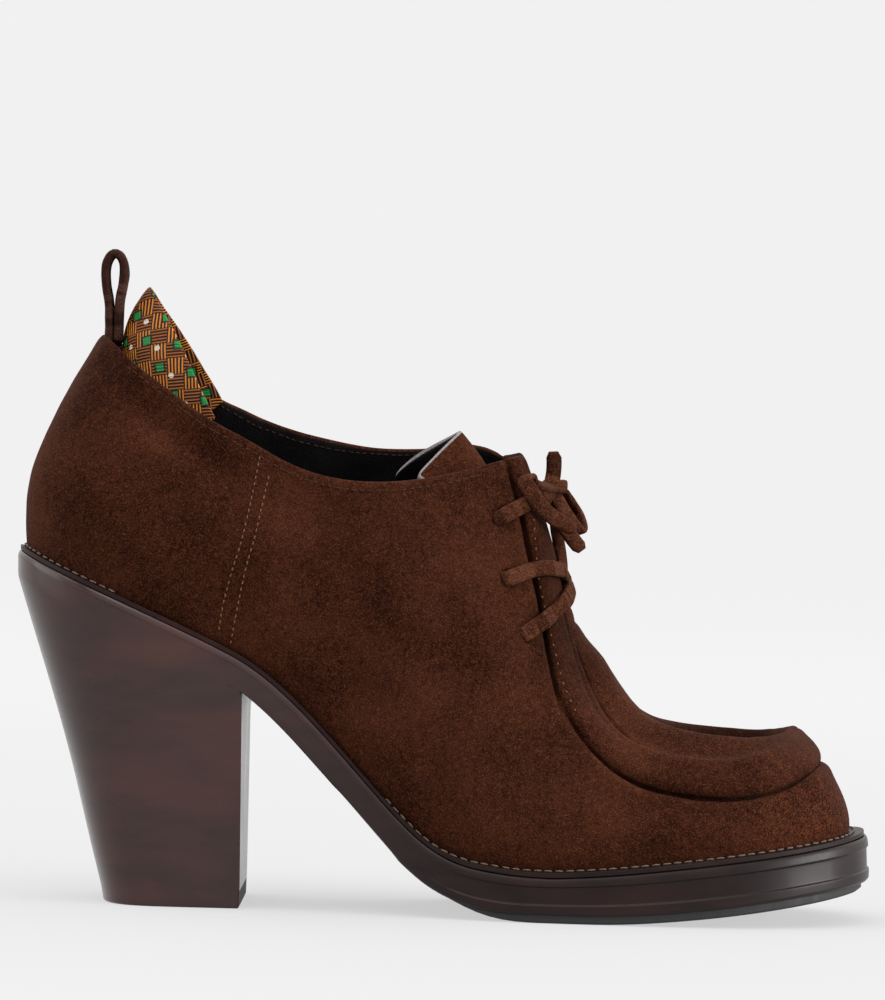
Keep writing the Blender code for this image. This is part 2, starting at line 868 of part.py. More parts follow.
TOP_LOOP = heel_top_loop()
FOOT_LOOP = heel_foot_loop(0.0)


def heel_level(share):
    loop = []
    for top, foot in zip(TOP_LOOP, FOOT_LOOP):
        lead = ease(50.0 - top[0], 0.0, 48.0)
        top_height = underside(top[0]) - GAP - 0.3
        base = LIFT + GAP
        along, out = foot + (top - foot) * share
        along += HOLLOW * lead * 4.0 * share * (1.0 - share)
        loop.append((along, out, base + (top_height - base) * share))
    return loop


STACK = (0.05, 0.026, 0.018)
heel_levels = [heel_level(share) for share in (0.0, 0.18, 0.4, 0.62, 0.84, 1.0)]
make("heel_block", *ladder(heel_levels), STACK, 0.3)


def lift_level(inset, height):
    return [(along, out, height) for along, out in heel_foot_loop(inset)]


lift_levels = [lift_level(0.5, 0.0), lift_level(0.1, 0.5), lift_level(0.1, LIFT)]
make("top_lift", *ladder(lift_levels), (0.03, 0.018, 0.015), 0.5)


# tongue: arched flap under the facings, pointed at the top
TONGUE = (
    ("row", "along", "height", "half", "back", "drop"),
    (0, 166.0, 70.2, 11.5, 3.2, 3.4),
    (1, 157.5, 83.8, 12.5, 3.4, 3.0),
    (2, 149.0, 98.5, 14.5, 4.6, 3.2),
    (3, 141.2, 113.0, 17.0, 7.5, 4.2),
    (4, 134.0, 125.8, 18.5, 11.0, 7.5),
    (5, 126.4, 135.7, 18.0, 13.5, 13.2),
)
TONGUE_ROWS = 14
TONGUE_ACROSS = 10
tongue_points = []
tongue_faces = []
for row in range(TONGUE_ROWS + 1):
    form = at(TONGUE, 5.0 * row / TONGUE_ROWS)
    for step in range(TONGUE_ACROSS + 1):
        share = 2.0 * step / TONGUE_ACROSS - 1.0
        bow = abs(share) ** (1.8 - 0.6 * ease(row, 9, TONGUE_ROWS))
        spot = (form["along"] - form["back"] * bow, form["half"] * share, form["height"] - form["drop"] * bow)
        tongue_points.append(spot)
for row in range(TONGUE_ROWS):
    for step in range(TONGUE_ACROSS):
        start = row * (TONGUE_ACROSS + 1) + step
        after = start + TONGUE_ACROSS + 1
        tongue_faces.append((start, start + 1, after + 1, after))
plain = [0.0] * len(tongue_points)
thick = [1.9] * len(tongue_points)
make("tongue", *thicken(tongue_points, tongue_faces, plain, thick), SUEDE, 0.95)


# heel tab: silk piece standing inside the heel collar, folded at the middle into a peak
TAB = (
    ("turn", "foot_along", "foot_out", "foot_height", "edge_along", "edge_out", "edge_height"),
    (0.0, 29.6, 0.0, 151.0, 35.6, 0.0, 174.6),
    (0.3, 29.4, 6.5, 150.0, 38.6, 5.2, 170.2),
    (0.6, 33.0, 13.0, 147.0, 43.4, 11.4, 162.6),
    (0.8, 38.6, 17.0, 143.0, 48.2, 16.2, 153.5),
    (1.0, 46.0, 20.0, 137.5, 52.6, 20.0, 144.5),
    (1.2, 53.0, 22.0, 133.0, 56.6, 22.2, 137.4),
)
TAB_STEPS = 9
TAB_ROWS = 5
tab_points = []
tab_faces = []
for step in range(-TAB_STEPS, TAB_STEPS + 1):
    side = MEDIAL if step > 0 else LATERAL
    form = at(TAB, 1.2 * abs(step) / TAB_STEPS)
    low = np.array((form["foot_along"], side * form["foot_out"], form["foot_height"]))
    high = np.array((form["edge_along"], side * form["edge_out"], form["edge_height"]))
    if step == 0:
        low[1] = 0.0
        high[1] = 0.0
    rise = (collar(side, low[0] + 2.0) - collar(LATERAL, low[0] + 2.0)) * ease(abs(step), 2, TAB_STEPS)
    low[2] += rise
    high[2] += rise * 0.8
    bow = 3.4 * (1.0 - ease(abs(step), 0, TAB_STEPS))
    for row in range(TAB_ROWS + 1):
        share = row / TAB_ROWS
        spot = low + (high - low) * share
        spot[0] -= bow * 4.0 * share * (1.0 - share)
        tab_points.append(spot)
for step in range(2 * TAB_STEPS):
    for row in range(TAB_ROWS):
        start = step * (TAB_ROWS + 1) + row
        after = start + TAB_ROWS + 1
        tab_faces.append((start, after, after + 1, start + 1))
plain = [0.5] * len(tab_points)
thick = [0.5] * len(tab_points)
make("heel_tab", *thicken(tab_points, tab_faces, plain, thick), (0.45, 0.24, 0.06), 0.5)


# pull loop: folded tape seen edge on, legs together, teardrop eye above
LOOP_HALF = 4.5
LOOP_OUTSIDE = (
    ("row", "along", "height"),
    (0, 25.2, 158.0),
    (1, 24.1, 163.5),
    (2, 22.8, 171.0),
    (3, 21.6, 178.5),
    (4, 22.6, 183.4),
    (5, 25.4, 185.5),
    (6, 28.2, 183.9),
    (7, 29.3, 179.4),
    (8, 28.2, 171.5),
    (9, 27.7, 164.0),
    (10, 27.6, 158.0),
)
LOOP_EYE = (
    ("row", "along", "height"),
    (0, 25.4, 172.6),
    (1, 24.4, 176.0),
    (2, 24.2, 179.2),
    (3, 25.4, 181.8),
    (4, 26.7, 179.4),
    (5, 26.3, 176.0),
)


loop_outside = [at(LOOP_OUTSIDE, 0.5 * step) for step in range(21)]
eye = [at(LOOP_EYE, 0.5 * step) for step in range(11)]
eye_ring = [(spot["along"], spot["height"]) for spot in eye]
rim_ring = [(spot["along"], spot["height"]) for spot in loop_outside]
loop_points = []
for out in (-LOOP_HALF, LOOP_HALF):
    loop_points += [(along, out, height) for along, height in rim_ring]
    loop_points += [(along, out, height) for along, height in eye_ring]
rim_count = len(rim_ring)
eye_count = len(eye_ring)
side_count = rim_count + eye_count
loop_faces = []
for step in range(rim_count):
    after = (step + 1) % rim_count
    loop_faces.append((step, after, side_count + after, side_count + step))
for step in range(eye_count):
    first = rim_count + step
    after = rim_count + (step + 1) % eye_count
    loop_faces.append((first, after, side_count + after, side_count + first))
for base in (0, side_count):
    for step in range(4):
        loop_faces.append((base + step, base + step + 1, base + 19 - step, base + 20 - step))
    loop_faces.append((base + 4, base + 5, base + rim_count, base + 15, base + 16))
    for step in range(eye_count - 1):
        inside = base + rim_count + step
        loop_faces.append((base + 5 + step, base + 6 + step, inside + 1, inside))
    loop_faces.append((base + 15, base + rim_count, base + rim_count + eye_count - 1))
make("pull_loop", loop_points, loop_faces, SUEDE, 0.95)


# lace: flat thong; it comes up through an eyelet, rides over the strip
# and meets the other side at the middle
LACE_WIDE = 4.0
LACE_DEEP = 1.5


def wall_front(side, along, height):
    centre = run_point(side, along, height)
    ahead = run_point(side, along + 2.0, height) - centre
    above = run_point(side, along, height + 2.0) - centre
    out = np.cross(ahead, above) * -side
    return out / np.linalg.norm(out)


def over_wall(side, along, height, rise):
    front = wall_front(side, along, height)
    return run_point(side, along, height) + front * rise, front


def over_strip(side, row, share, rise):
    line = at(SEAM, row)
    after = at(SEAM, row + 0.3)
    seam = run_point(side, line["along"], line["height"])
    edge = np.array((line["edge_along"], side * line["edge_out"], line["edge_height"]))
    down = run_point(side, after["along"], after["height"]) - seam
    front = np.cross(down, edge - seam) * -side
    front /= np.linalg.norm(front)
    return seam + (edge - seam) * share + front * rise, front


def lace_side(side, eyelet, row, tilt):
    along, height = EYELETS[1 + eyelet]
    line = at(SEAM, row + 0.5 * tilt)
    seam_along = line["along"]
    hops = [
        over_wall(side, along + 0.4, height, 1.5),
        over_wall(side, 0.5 * (along + seam_along), 0.5 * (height + line["height"]), 2.0),
        over_strip(side, row + 0.3 * tilt, 0.18, 3.4),
        over_strip(side, row, 0.55, 3.7),
        over_strip(side, row - 0.2 * tilt, 0.98, 3.3),
    ]
    return hops


def lace_path(first, middle, second):
    hops = first + middle + second[::-1]
    spots = np.array([hop[0] for hop in hops])
    fronts = np.array([hop[1] for hop in hops])
    count = len(hops)
    keys = np.concatenate(([0.0], np.cumsum(np.linalg.norm(np.diff(spots, axis=0), axis=1))))
    path = []
    face = []
    for step in range(2 * count - 1):
        low = step // 2
        where = keys[low] if step % 2 == 0 else 0.5 * (keys[low] + keys[low + 1])
        path.append(through(keys, spots, where))
        face.append(through(keys, fronts, where))
    return path, face


FORWARD = np.array((0.86, 0.0, 0.5))
FORWARD /= np.linalg.norm(FORWARD)
lace_things = {}
for name, low_side, lift in (("lace_crossing", LATERAL, 0.5), ("lace_under", MEDIAL, -0.5)):
    cross = np.array((157.4, 0.0, 89.8)) + FORWARD * lift
    low = lace_side(low_side, 2, 5.1, 0.5)
    high = lace_side(-low_side, 1, 3.6, -0.4)
    path, face = lace_path(low, [(cross, FORWARD)], high)
    lace_things[name] = make(name, *strap(path, face, LACE_WIDE, LACE_DEEP), (0.115, 0.05, 0.03), 0.95)
lace_things["lace_under"].hide_render = True
lace_things["lace_under"].display_type = "WIRE"
joined = lace_things["lace_crossing"].modifiers.new("joined", "BOOLEAN")
joined.operation = "UNION"
joined.solver = "EXACT"
joined.object = lace_things["lace_under"]

bar_middle = (np.array((149.6, 0.0, 119.6)), np.array((0.93, 0.0, 0.36)))
near_bar = lace_side(LATERAL, 0, 1.55, 0.5)
far_bar = lace_side(MEDIAL, 0, 1.55, 0.5)
path, face = lace_path(near_bar, [bar_middle], far_bar)
make("lace_top_bar", *strap(path, face, LACE_WIDE, LACE_DEEP), (0.115, 0.05, 0.03), 0.95)

# knot, bow pieces and ends, drawn as cords
knot_points = []
knot_faces = []
KNOT_RINGS = 6
KNOT_SPOKES = 10
for ring in range(1, KNOT_RINGS):
    polar = np.pi * ring / KNOT_RINGS
    for spoke in range(KNOT_SPOKES):
        angle = 2.0 * np.pi * spoke / KNOT_SPOKES
        spread = np.sin(polar)
        ahead = 2.5 * spread * np.cos(angle)
        above = 3.9 * spread * np.sin(angle)
        knot_points.append((153.3 + ahead, 4.4 * np.cos(polar), 120.4 + above))
for ring in range(KNOT_RINGS - 2):
    for spoke in range(KNOT_SPOKES):
        after = (spoke + 1) % KNOT_SPOKES
        low = ring * KNOT_SPOKES
        high = low + KNOT_SPOKES
        knot_faces.append((low + spoke, low + after, high + after, high + spoke))
knot_faces.append(tuple(range(KNOT_SPOKES)))
knot_faces.append(tuple(range((KNOT_RINGS - 1) * KNOT_SPOKES - 1, (KNOT_RINGS - 2) * KNOT_SPOKES - 1, -1)))
make("lace_knot", knot_points, knot_faces, (0.115, 0.05, 0.03), 0.95)

CORDS = (
    ("lace_end_up", (152.6, -0.8, 124.4), (152.8, -1.6, 128.0), (152.8, -2.2, 131.2)),
    ("lace_loop_near", (154.9, -5.8, 120.6), (157.6, -6.6, 115.4), (160.0, -6.0, 108.8)),
    ("lace_loop_far", (155.2, 5.4, 120.4), (159.6, 6.2, 115.0), (162.4, 5.4, 108.2)),
    ("lace_end_down", (154.5, 0.3, 116.6), (158.6, 0.0, 108.0), (162.0, -0.6, 101.0)),
)
for name, start, bend, end in CORDS:
    path = [through((0.0, 1.0, 2.0), np.array((start, bend, end)), 0.4 * step) for step in range(6)]
    fronts = [(0.9, -0.25, 0.3)] * 6
    make(name, *strap(path, fronts, LACE_WIDE, LACE_DEEP), (0.115, 0.05, 0.03), 0.95)
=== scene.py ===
import math
import bmesh
import bpy
import numpy as np
from mathutils import Matrix, Vector, noise
from mathutils.bvhtree import BVHTree
from mathutils.kdtree import KDTree


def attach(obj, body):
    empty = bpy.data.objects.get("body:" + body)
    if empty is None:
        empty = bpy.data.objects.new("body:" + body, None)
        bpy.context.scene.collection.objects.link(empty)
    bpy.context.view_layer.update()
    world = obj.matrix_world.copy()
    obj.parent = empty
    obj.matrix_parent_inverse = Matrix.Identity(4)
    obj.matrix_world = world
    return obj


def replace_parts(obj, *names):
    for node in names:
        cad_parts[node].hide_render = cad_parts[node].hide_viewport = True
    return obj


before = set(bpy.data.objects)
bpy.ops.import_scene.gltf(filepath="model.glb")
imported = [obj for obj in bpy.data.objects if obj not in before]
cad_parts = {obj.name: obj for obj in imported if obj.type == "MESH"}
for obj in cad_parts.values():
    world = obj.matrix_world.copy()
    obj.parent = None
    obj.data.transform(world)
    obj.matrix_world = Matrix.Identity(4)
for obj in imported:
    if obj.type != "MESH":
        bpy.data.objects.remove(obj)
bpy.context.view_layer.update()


# Camera: a long lens level with the ankle and square to the outer side of the shoe.
# It is turned a little about its own axis, so the floor falls away to the right.
CAMERA_SPOT = (-0.0014, -1.4, 0.1163)
CAMERA_TURN = 0.0295
camera_data = bpy.data.cameras.new("camera")
camera_data.sensor_width = 36.0
camera_data.lens = 176.4
camera = bpy.data.objects.new("camera", camera_data)
camera.matrix_world = (
    Matrix.Translation(CAMERA_SPOT)
    @ Matrix.Rotation(-CAMERA_TURN, 4, "Y")
    @ Matrix.Rotation(0.5 * math.pi, 4, "X")
)
bpy.context.scene.collection.objects.link(camera)
bpy.context.scene.camera = camera


# Lace: one flat thong cut from suede, about 4.5 mm wide, run through the three pairs of eyelets.
# It crosses once over the throat and is tied at the top in a small bow with short cut ends.
LACE_WIDE = 0.0045
LACE_DEEP = 0.0018
LACE_STEP = 0.0008
LACE_DARK = (0.018, 0.0045, 0.0018)
LACE_LIGHT = (0.13, 0.047, 0.025)
STRAP_CORNERS = 16
TIP_SIZE = 0.62
TIP_GROWTH = 0.19
STRAP_WOBBLE = 0.00016
WOBBLE_SEED = 7
MM = 0.001
HEEL_TO_MIDDLE = 122.4

# the wobble of the thong, its knot and the pull loop comes out the same each run
noise.seed_set(WOBBLE_SEED)


# along from the back of the heel, out from the middle and height from the floor, in millimetres
def spot(along, out, height):
    return Vector(((along - HEEL_TO_MIDDLE) * MM, out * MM, height * MM))


def smooth_line(points, count):
    points = np.array(points, float)
    keys = np.concatenate(([0.0], np.cumsum(np.linalg.norm(np.diff(points, axis=0), axis=1))))
    slopes = np.gradient(points, keys, axis=0)
    line = []
    for key in np.linspace(0.0, keys[-1], count):
        row = min(int(np.searchsorted(keys, key, side="right")) - 1, len(keys) - 2)
        step = keys[row + 1] - keys[row]
        share = (key - keys[row]) / step
        square, cube = share ** 2, share ** 3
        here = points[row] * (2 * cube - 3 * square + 1) + slopes[row] * step * (cube - 2 * square + share)
        there = points[row + 1] * (3 * square - 2 * cube) + slopes[row + 1] * step * (cube - square)
        line.append(here + there)
    return np.array(line)


def strap_frames(route, wide, deep):
    spots = np.array([spot(*row[:3]) for row in route])
    fronts = np.array([row[3:6] for row in route], float)
    length = np.linalg.norm(np.diff(spots, axis=0), axis=1).sum()
    count = max(int(length / LACE_STEP), 8)
    both = smooth_line(np.hstack((spots, fronts * MM)), count)
    line, faces = both[:, :3], both[:, 3:]
    ahead = np.gradient(line, axis=0)
    frames = []
    for number, (centre, forward, front) in enumerate(zip(line, ahead, faces)):
        from_end = min(number, count - 1 - number)
        round_end = min(1.0, TIP_SIZE + TIP_GROWTH * from_end)
        forward = Vector(forward).normalized()
        front = Vector(front)
        front = (front - forward * front.dot(forward)).normalized()
        beside = front.cross(forward)
        frame_turn = Matrix((
            beside * wide * 0.5 * round_end, front * deep * 0.5 * round_end, forward * MM)).transposed()
        frames.append(Matrix.Translation(centre) @ frame_turn.to_4x4())
    return line, frames


def sweep_strap(shape, frames):
    ring = bmesh.ops.create_circle(shape, cap_ends=True, segments=STRAP_CORNERS, radius=1.0)["verts"]
    for corner in ring:
        corner.co.x = math.copysign(abs(corner.co.x) ** 0.5, corner.co.x)
        corner.co.y = math.copysign(abs(corner.co.y) ** 0.6, corner.co.y)
    tip = list({face for corner in ring for face in corner.link_faces})
    bmesh.ops.transform(shape, matrix=frames[0], verts=ring)
    made = set(ring)
    for before, after in zip(frames, frames[1:]):
        grown = bmesh.ops.extrude_face_region(shape, geom=tip)["geom"]
        corners = [part for part in grown if isinstance(part, bmesh.types.BMVert)]
        tip = [part for part in grown if isinstance(part, bmesh.types.BMFace)]
        bmesh.ops.transform(shape, matrix=after @ before.inverted(), verts=corners)
        made.update(corners)
    for corner in made:
        corner.co += noise.noise_vector(corner.co * 260.0) * STRAP_WOBBLE
    bmesh.ops.recalc_face_normals(shape, faces=shape.faces)


def add_piece(name, shape, coats):
    mesh = bpy.data.meshes.new(name)
    shape.to_mesh(mesh)
    shape.free()
    mesh.shade_smooth()
    piece = bpy.data.objects.new(name, mesh)
    bpy.context.scene.collection.objects.link(piece)
    for coat in coats:
        mesh.materials.append(coat)
    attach(piece, "root")
    return piece


def set_inputs(node, values):
    for title, value in values.items():
        node.inputs[title].default_value = value


def add_node(tree, kind, values=None, **settings):
    node = tree.nodes.new(kind)
    for key, value in settings.items():
        setattr(node, key, value)
    set_inputs(node, values or {})
    return node


def new_group(name, inputs, outputs):
    group = bpy.data.node_groups.new(name, "ShaderNodeTree")
    for way, sockets in (("INPUT", inputs), ("OUTPUT", outputs)):
        for title, kind in sockets:
            group.interface.new_socket(title, in_out=way, socket_type="NodeSocket" + kind)
    return group, group.nodes.new("NodeGroupInput"), group.nodes.new("NodeGroupOutput")


def grain(tree, place, scale, detail, rough=0.55):
    cloud = add_node(tree, "ShaderNodeTexNoise", {"Scale": scale, "Detail": detail, "Roughness": rough})
    tree.links.new(place, cloud.inputs["Vector"])
    return cloud.outputs["Fac"]


def reckon(tree, way, first, second):
    sum_node = add_node(tree, "ShaderNodeMath", operation=way)
    for socket, value in zip(sum_node.inputs, (first, second)):
        if isinstance(value, (int, float)):
            socket.default_value = value
        else:
            tree.links.new(value, socket)
    return sum_node.outputs[0]


def weighed(tree, *terms):
    products = [reckon(tree, "MULTIPLY", value, weight) for value, weight in terms]
    total = products[0]
    for product in products[1:]:
        total = reckon(tree, "ADD", total, product)
    return total


def spread(tree, value, low, high, to_low=0.0, to_high=1.0):
    ranged = add_node(tree, "ShaderNodeMapRange", {
        "From Min": low, "From Max": high, "To Min": to_low, "To Max": to_high,
    })
    tree.links.new(value, ranged.inputs["Value"])
    return ranged.outputs["Result"]


def blend(tree, share, first, second):
    mixer = add_node(tree, "ShaderNodeMix", data_type="RGBA")
    tree.links.new(share, mixer.inputs["Factor"])
    for title, value in (("A", first), ("B", second)):
        socket = [s for s in mixer.inputs if s.name == title and s.type == "RGBA"][0]
        if isinstance(value, tuple):
            socket.default_value = (*value, 1.0)
        else:
            tree.links.new(value, socket)
    return [s for s in mixer.outputs if s.type == "RGBA"][0]


# the nap: broad mottling, brushed streaks and fine fibres
nap_group, nap_in, nap_out = new_group(
    "suede_nap",
    (("Dark", "Color"), ("Light", "Color"), ("Mottle", "Float")),
    (("Colour", "Color"), ("Roughness", "Float"), ("Height", "Float")),
)
place = add_node(nap_group, "ShaderNodeTexCoord").outputs["Object"]
broad = grain(nap_group, place, 34.0, 4.0, 0.55)
brushed = grain(nap_group, place, 620.0, 2.0, 0.6)
pile = grain(nap_group, place, 2300.0, 2.0, 0.6)
fibre = grain(nap_group, place, 5200.0, 1.0)
mottle = reckon(
    nap_group, "MULTIPLY", spread(nap_group, broad, 0.3, 0.7, -0.5, 0.5), nap_in.outputs["Mottle"])
fine = weighed(
    nap_group,
    (spread(nap_group, brushed, 0.3, 0.7), 0.3),
    (spread(nap_group, pile, 0.42, 0.78), 0.9),
    (spread(nap_group, pile, 0.6, 0.78), 0.5),
)
share = spread(nap_group, reckon(nap_group, "ADD", mottle, fine), 0.0, 1.15)
nap_group.links.new(
    blend(nap_group, share, nap_in.outputs["Dark"], nap_in.outputs["Light"]), nap_out.inputs["Colour"])
nap_group.links.new(spread(nap_group, pile, 0.3, 0.7, 0.86, 1.0), nap_out.inputs["Roughness"])
nap_group.links.new(weighed(nap_group, (pile, 0.6), (fibre, 0.25), (brushed, 0.5)), nap_out.inputs["Height"])


def new_coat(name):
    coat = bpy.data.materials.new(name)
    coat.use_nodes = True
    return coat, coat.node_tree, coat.node_tree.nodes["Principled BSDF"]


def raise_bump(tree, height, strength, depth, shader):
    bump = add_node(tree, "ShaderNodeBump", {"Strength": strength, "Distance": depth})
    tree.links.new(height, bump.inputs["Height"])
    tree.links.new(bump.outputs["Normal"], shader.inputs["Normal"])


SUEDE_SHEEN = {"Sheen Weight": 0.03, "Sheen Roughness": 0.45, "Sheen Tint": (0.9, 0.55, 0.4, 1.0)}


def lay_nap(tree, shader, dark, light, mottle_share, gloss):
    nap = add_node(
        tree, "ShaderNodeGroup", {"Dark": (*dark, 1.0), "Light": (*light, 1.0), "Mottle": mottle_share},
        node_tree=nap_group)
    set_inputs(shader, {"Specular IOR Level": gloss, **SUEDE_SHEEN})
    raise_bump(tree, nap.outputs["Height"], 0.55, 0.0006, shader)
    return nap


def suede_coat(name, dark, light, mottle_share=0.45):
    coat, tree, shader = new_coat(name)
    nap = lay_nap(tree, shader, dark, light, mottle_share, 0.03)
    tree.links.new(nap.outputs["Colour"], shader.inputs["Base Color"])
    tree.links.new(nap.outputs["Roughness"], shader.inputs["Roughness"])
    return coat


lace_coat = suede_coat("lace_suede", LACE_DARK, LACE_LIGHT, 0.2)


def add_lace(name, route, nodes=()):
    shape = bmesh.new()
    line, frames = strap_frames(route, LACE_WIDE, LACE_DEEP)
    sweep_strap(shape, frames)
    piece = add_piece(name, shape, [lace_coat])
    if nodes:
        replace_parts(piece, *nodes)
    return piece, line


def add_cord(name, route, nodes):
    piece, line = add_lace(name, route, nodes)


# route rows: along, out and height in millimetres, then the way the flat of the thong faces
add_cord("lace_near", (
    (135.4, -19.6, 111.4, -0.6, -0.6, -0.5),
    (137.0, -22.0, 111.7, -0.2, -0.9, 0.1),
    (139.4, -22.0, 113.0, 0.3, -0.9, 0.27),
    (142.6, -19.8, 114.8, 0.5, -0.8, 0.27),
    (146.0, -16.6, 116.6, 0.79, -0.54, 0.31),
    (148.4, -12.6, 118.4, 0.75, -0.5, 0.4),
    (150.6, -7.0, 119.8, 0.6, -0.5, 0.6),
    (151.8, -3.0, 121.2, 0.4, -0.8, 0.3),
    (152.4, -1.6, 124.4, 0.35, -0.93, 0.0),
    (152.5, -1.9, 128.0, 0.3, -0.95, 0.0),
    (152.3, -2.2, 131.0, 0.3, -0.95, 0.0),
), ("lace_top_bar", "lace_end_up"))
add_cord("lace_far", (
    (135.4, 19.6, 111.4, -0.6, 0.6, -0.5),
    (137.2, 22.0, 111.9, -0.2, 0.9, 0.1),
    (139.4, 22.3, 113.0, 0.3, 0.9, 0.27),
    (142.6, 21.0, 114.6, 0.5, 0.8, 0.27),
    (146.2, 18.1, 116.9, 0.79, 0.54, 0.31),
    (149.0, 12.0, 119.6, 0.78, 0.4, 0.4),
    (151.0, 4.0, 118.6, 0.9, 0.0, 0.4),
    (152.4, -2.0, 115.4, 0.6, -0.75, 0.3),
    (154.2, -4.6, 111.6, 0.5, -0.85, 0.2),
    (157.4, -5.6, 107.6, 0.45, -0.88, 0.2),
    (161.2, -6.2, 103.0, 0.45, -0.88, 0.2),
), ("lace_end_down",))
add_cord("lace_bow_near", (
    (153.6, -3.4, 120.8, 0.1, -0.5, 0.85),
    (150.6, -7.4, 120.8, 0.1, -0.6, 0.8),
    (147.6, -12.6, 121.8, 0.0, -0.7, 0.7),
    (145.0, -16.4, 123.6, -0.5, -0.6, 0.6),
    (144.0, -18.4, 122.6, -0.5, -0.85, 0.1),
    (145.6, -18.9, 119.9, -0.1, -0.98, 0.05),
    (148.0, -18.4, 116.4, 0.05, -0.99, 0.05),
    (151.6, -16.6, 112.9, 0.15, -0.97, 0.15),
    (154.9, -14.8, 110.8, 0.2, -0.93, 0.3),
    (158.8, -13.0, 109.2, 0.3, -0.8, 0.5),
), ("lace_loop_near",))
add_cord("lace_bow_far", (
    (152.4, -2.0, 120.2, 0.6, -0.7, 0.4),
    (153.6, -3.6, 117.6, 0.5, -0.8, 0.35),
    (156.0, -3.8, 113.6, 0.5, -0.8, 0.35),
    (158.4, -2.8, 110.0, 0.45, -0.8, -0.2),
    (160.2, -0.2, 108.2, 0.3, 0.0, -0.95),
    (160.9, 2.6, 109.6, 0.75, 0.6, -0.25),
    (160.0, 4.0, 113.0, 0.7, 0.6, 0.35),
    (157.4, 4.2, 116.8, 0.65, 0.6, 0.5),
    (154.4, 3.0, 120.6, 0.5, 0.7, 0.5),
), ("lace_loop_far",))

# the knot is one tight turn of the same thong over a core of two packed turns
KNOT_CORES = (
    (spot(153.0, 0.0, 120.6), (0.0022, 0.004, 0.0027)),
    (spot(149.8, -4.0, 118.9), (0.0034, 0.0042, 0.0036)),
)
KNOT_TURN_WIDE = 0.0038
KNOT_TURN_STEPS = 19
KNOT_LUMPS = 0.0004
knot_shape = bmesh.new()
for centre, size in KNOT_CORES:
    bmesh.ops.create_icosphere(
        knot_shape, subdivisions=3, radius=1.0,
        matrix=Matrix.Translation(centre) @ Matrix.Diagonal((*size, 1.0)))
for corner in knot_shape.verts:
    corner.co += noise.noise_vector(corner.co * 400.0) * KNOT_LUMPS
turn_rows = []
for step in range(KNOT_TURN_STEPS):
    angle = math.radians(-200.0 + 25.0 * step)
    face = (math.cos(angle), math.sin(angle) * 0.8, 0.0)
    height = 121.6 - 0.12 * step + 0.5 * face[0]
    turn_rows.append((153.0 + 2.7 * math.cos(angle), 4.6 * math.sin(angle), height, *face))
sweep_strap(knot_shape, strap_frames(turn_rows, KNOT_TURN_WIDE, LACE_DEEP)[1])
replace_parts(add_piece("lace_knot", knot_shape, [lace_coat]), "lace_knot")

# the two straps that cross, the runs of the thong behind the facings from eyelet to eyelet,
# and the tail that hangs from the knot down to the crossing; a strap's last value is its share of the step
# by which the near one passes over the other
CROSSING = (
    (142.0, 25.4, 78.0, -0.6, 0.6, -0.5, 0.0),
    (143.9, 27.9, 78.8, -0.2, 0.9, 0.1, 0.0),
    (146.0, 27.6, 80.0, 0.3, 0.9, 0.28, 0.0),
    (148.2, 27.2, 81.5, 0.45, 0.85, 0.29, 0.0),
    (150.4, 25.6, 83.2, 0.6, 0.75, 0.3, 0.0),
    (152.6, 23.3, 85.0, 0.75, 0.6, 0.3, 0.0),
    (154.9, 20.2, 87.0, 0.82, 0.5, 0.3, 0.0),
    (156.9, 16.0, 89.2, 0.82, 0.48, 0.32, 0.0),
    (157.8, 10.5, 91.6, 0.85, 0.3, 0.4, 0.5),
    (157.2, 5.0, 93.4, 0.86, 0.15, 0.5, 1.0),
    (156.6, 0.0, 94.8, 0.86, 0.0, 0.5, 1.0),
    (156.4, -6.0, 96.0, 0.86, -0.15, 0.5, 1.0),
    (156.0, -13.0, 97.2, 0.82, -0.48, 0.3, 0.0),
    (153.7, -17.4, 97.8, 0.81, -0.51, 0.28, 0.0),
    (151.0, -20.8, 98.0, 0.81, -0.52, 0.28, 0.0),
    (146.0, -24.2, 97.2, 0.5, -0.83, 0.25, 0.0),
    (142.6, -25.9, 95.8, 0.3, -0.9, 0.26, 0.0),
    (140.4, -26.2, 94.9, -0.2, -0.9, 0.1, 0.0),
    (138.2, -23.8, 94.4, -0.6, -0.6, -0.5, 0.0),
)
STEP_OVER = (0.56, 0.42)
BEHIND_TOP = (
    (134.5, 18.3, 115.4), (135.6, 18.7, 111.8), (137.5, 20.3, 103.3), (139.3, 21.8, 94.8), (140.0, 22.5, 91.8))
BEHIND_LOW = ((142.8, 24.4, 81.6), (143.7, 24.9, 78.6), (144.5, 25.4, 74.8), (146.6, 26.2, 69.7))
cross_shape = bmesh.new()
for side in (-1, 1):
    ahead_step, up_step = (-side * step for step in STEP_OVER)
    straps = [[
        (along + over * ahead_step, side * out, height + over * up_step, ahead, side * beside, up)
        for along, out, height, ahead, beside, up, over in CROSSING
    ]]
    for run in (BEHIND_TOP, BEHIND_LOW):
        straps.append([(along, side * out, height, -0.37, -side * 0.89, -0.27) for along, out, height in run])
    for strap in straps:
        sweep_strap(cross_shape, strap_frames(strap, LACE_WIDE, LACE_DEEP)[1])
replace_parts(add_piece("lace_crossing", cross_shape, [lace_coat]), "lace_crossing")
add_lace("lace_tail", (
    (153.4, 0.0, 118.4, 0.8, -0.55, 0.2),
    (153.4, -1.2, 114.4, 0.7, -0.7, 0.2),
    (153.8, -1.6, 109.6, 0.7, -0.7, 0.15),
    (154.6, -1.4, 104.4, 0.75, -0.65, 0.15),
    (155.6, -0.8, 99.2, 0.8, -0.55, 0.2),
    (156.0, -0.2, 93.0, 0.85, -0.4, 0.3),
))


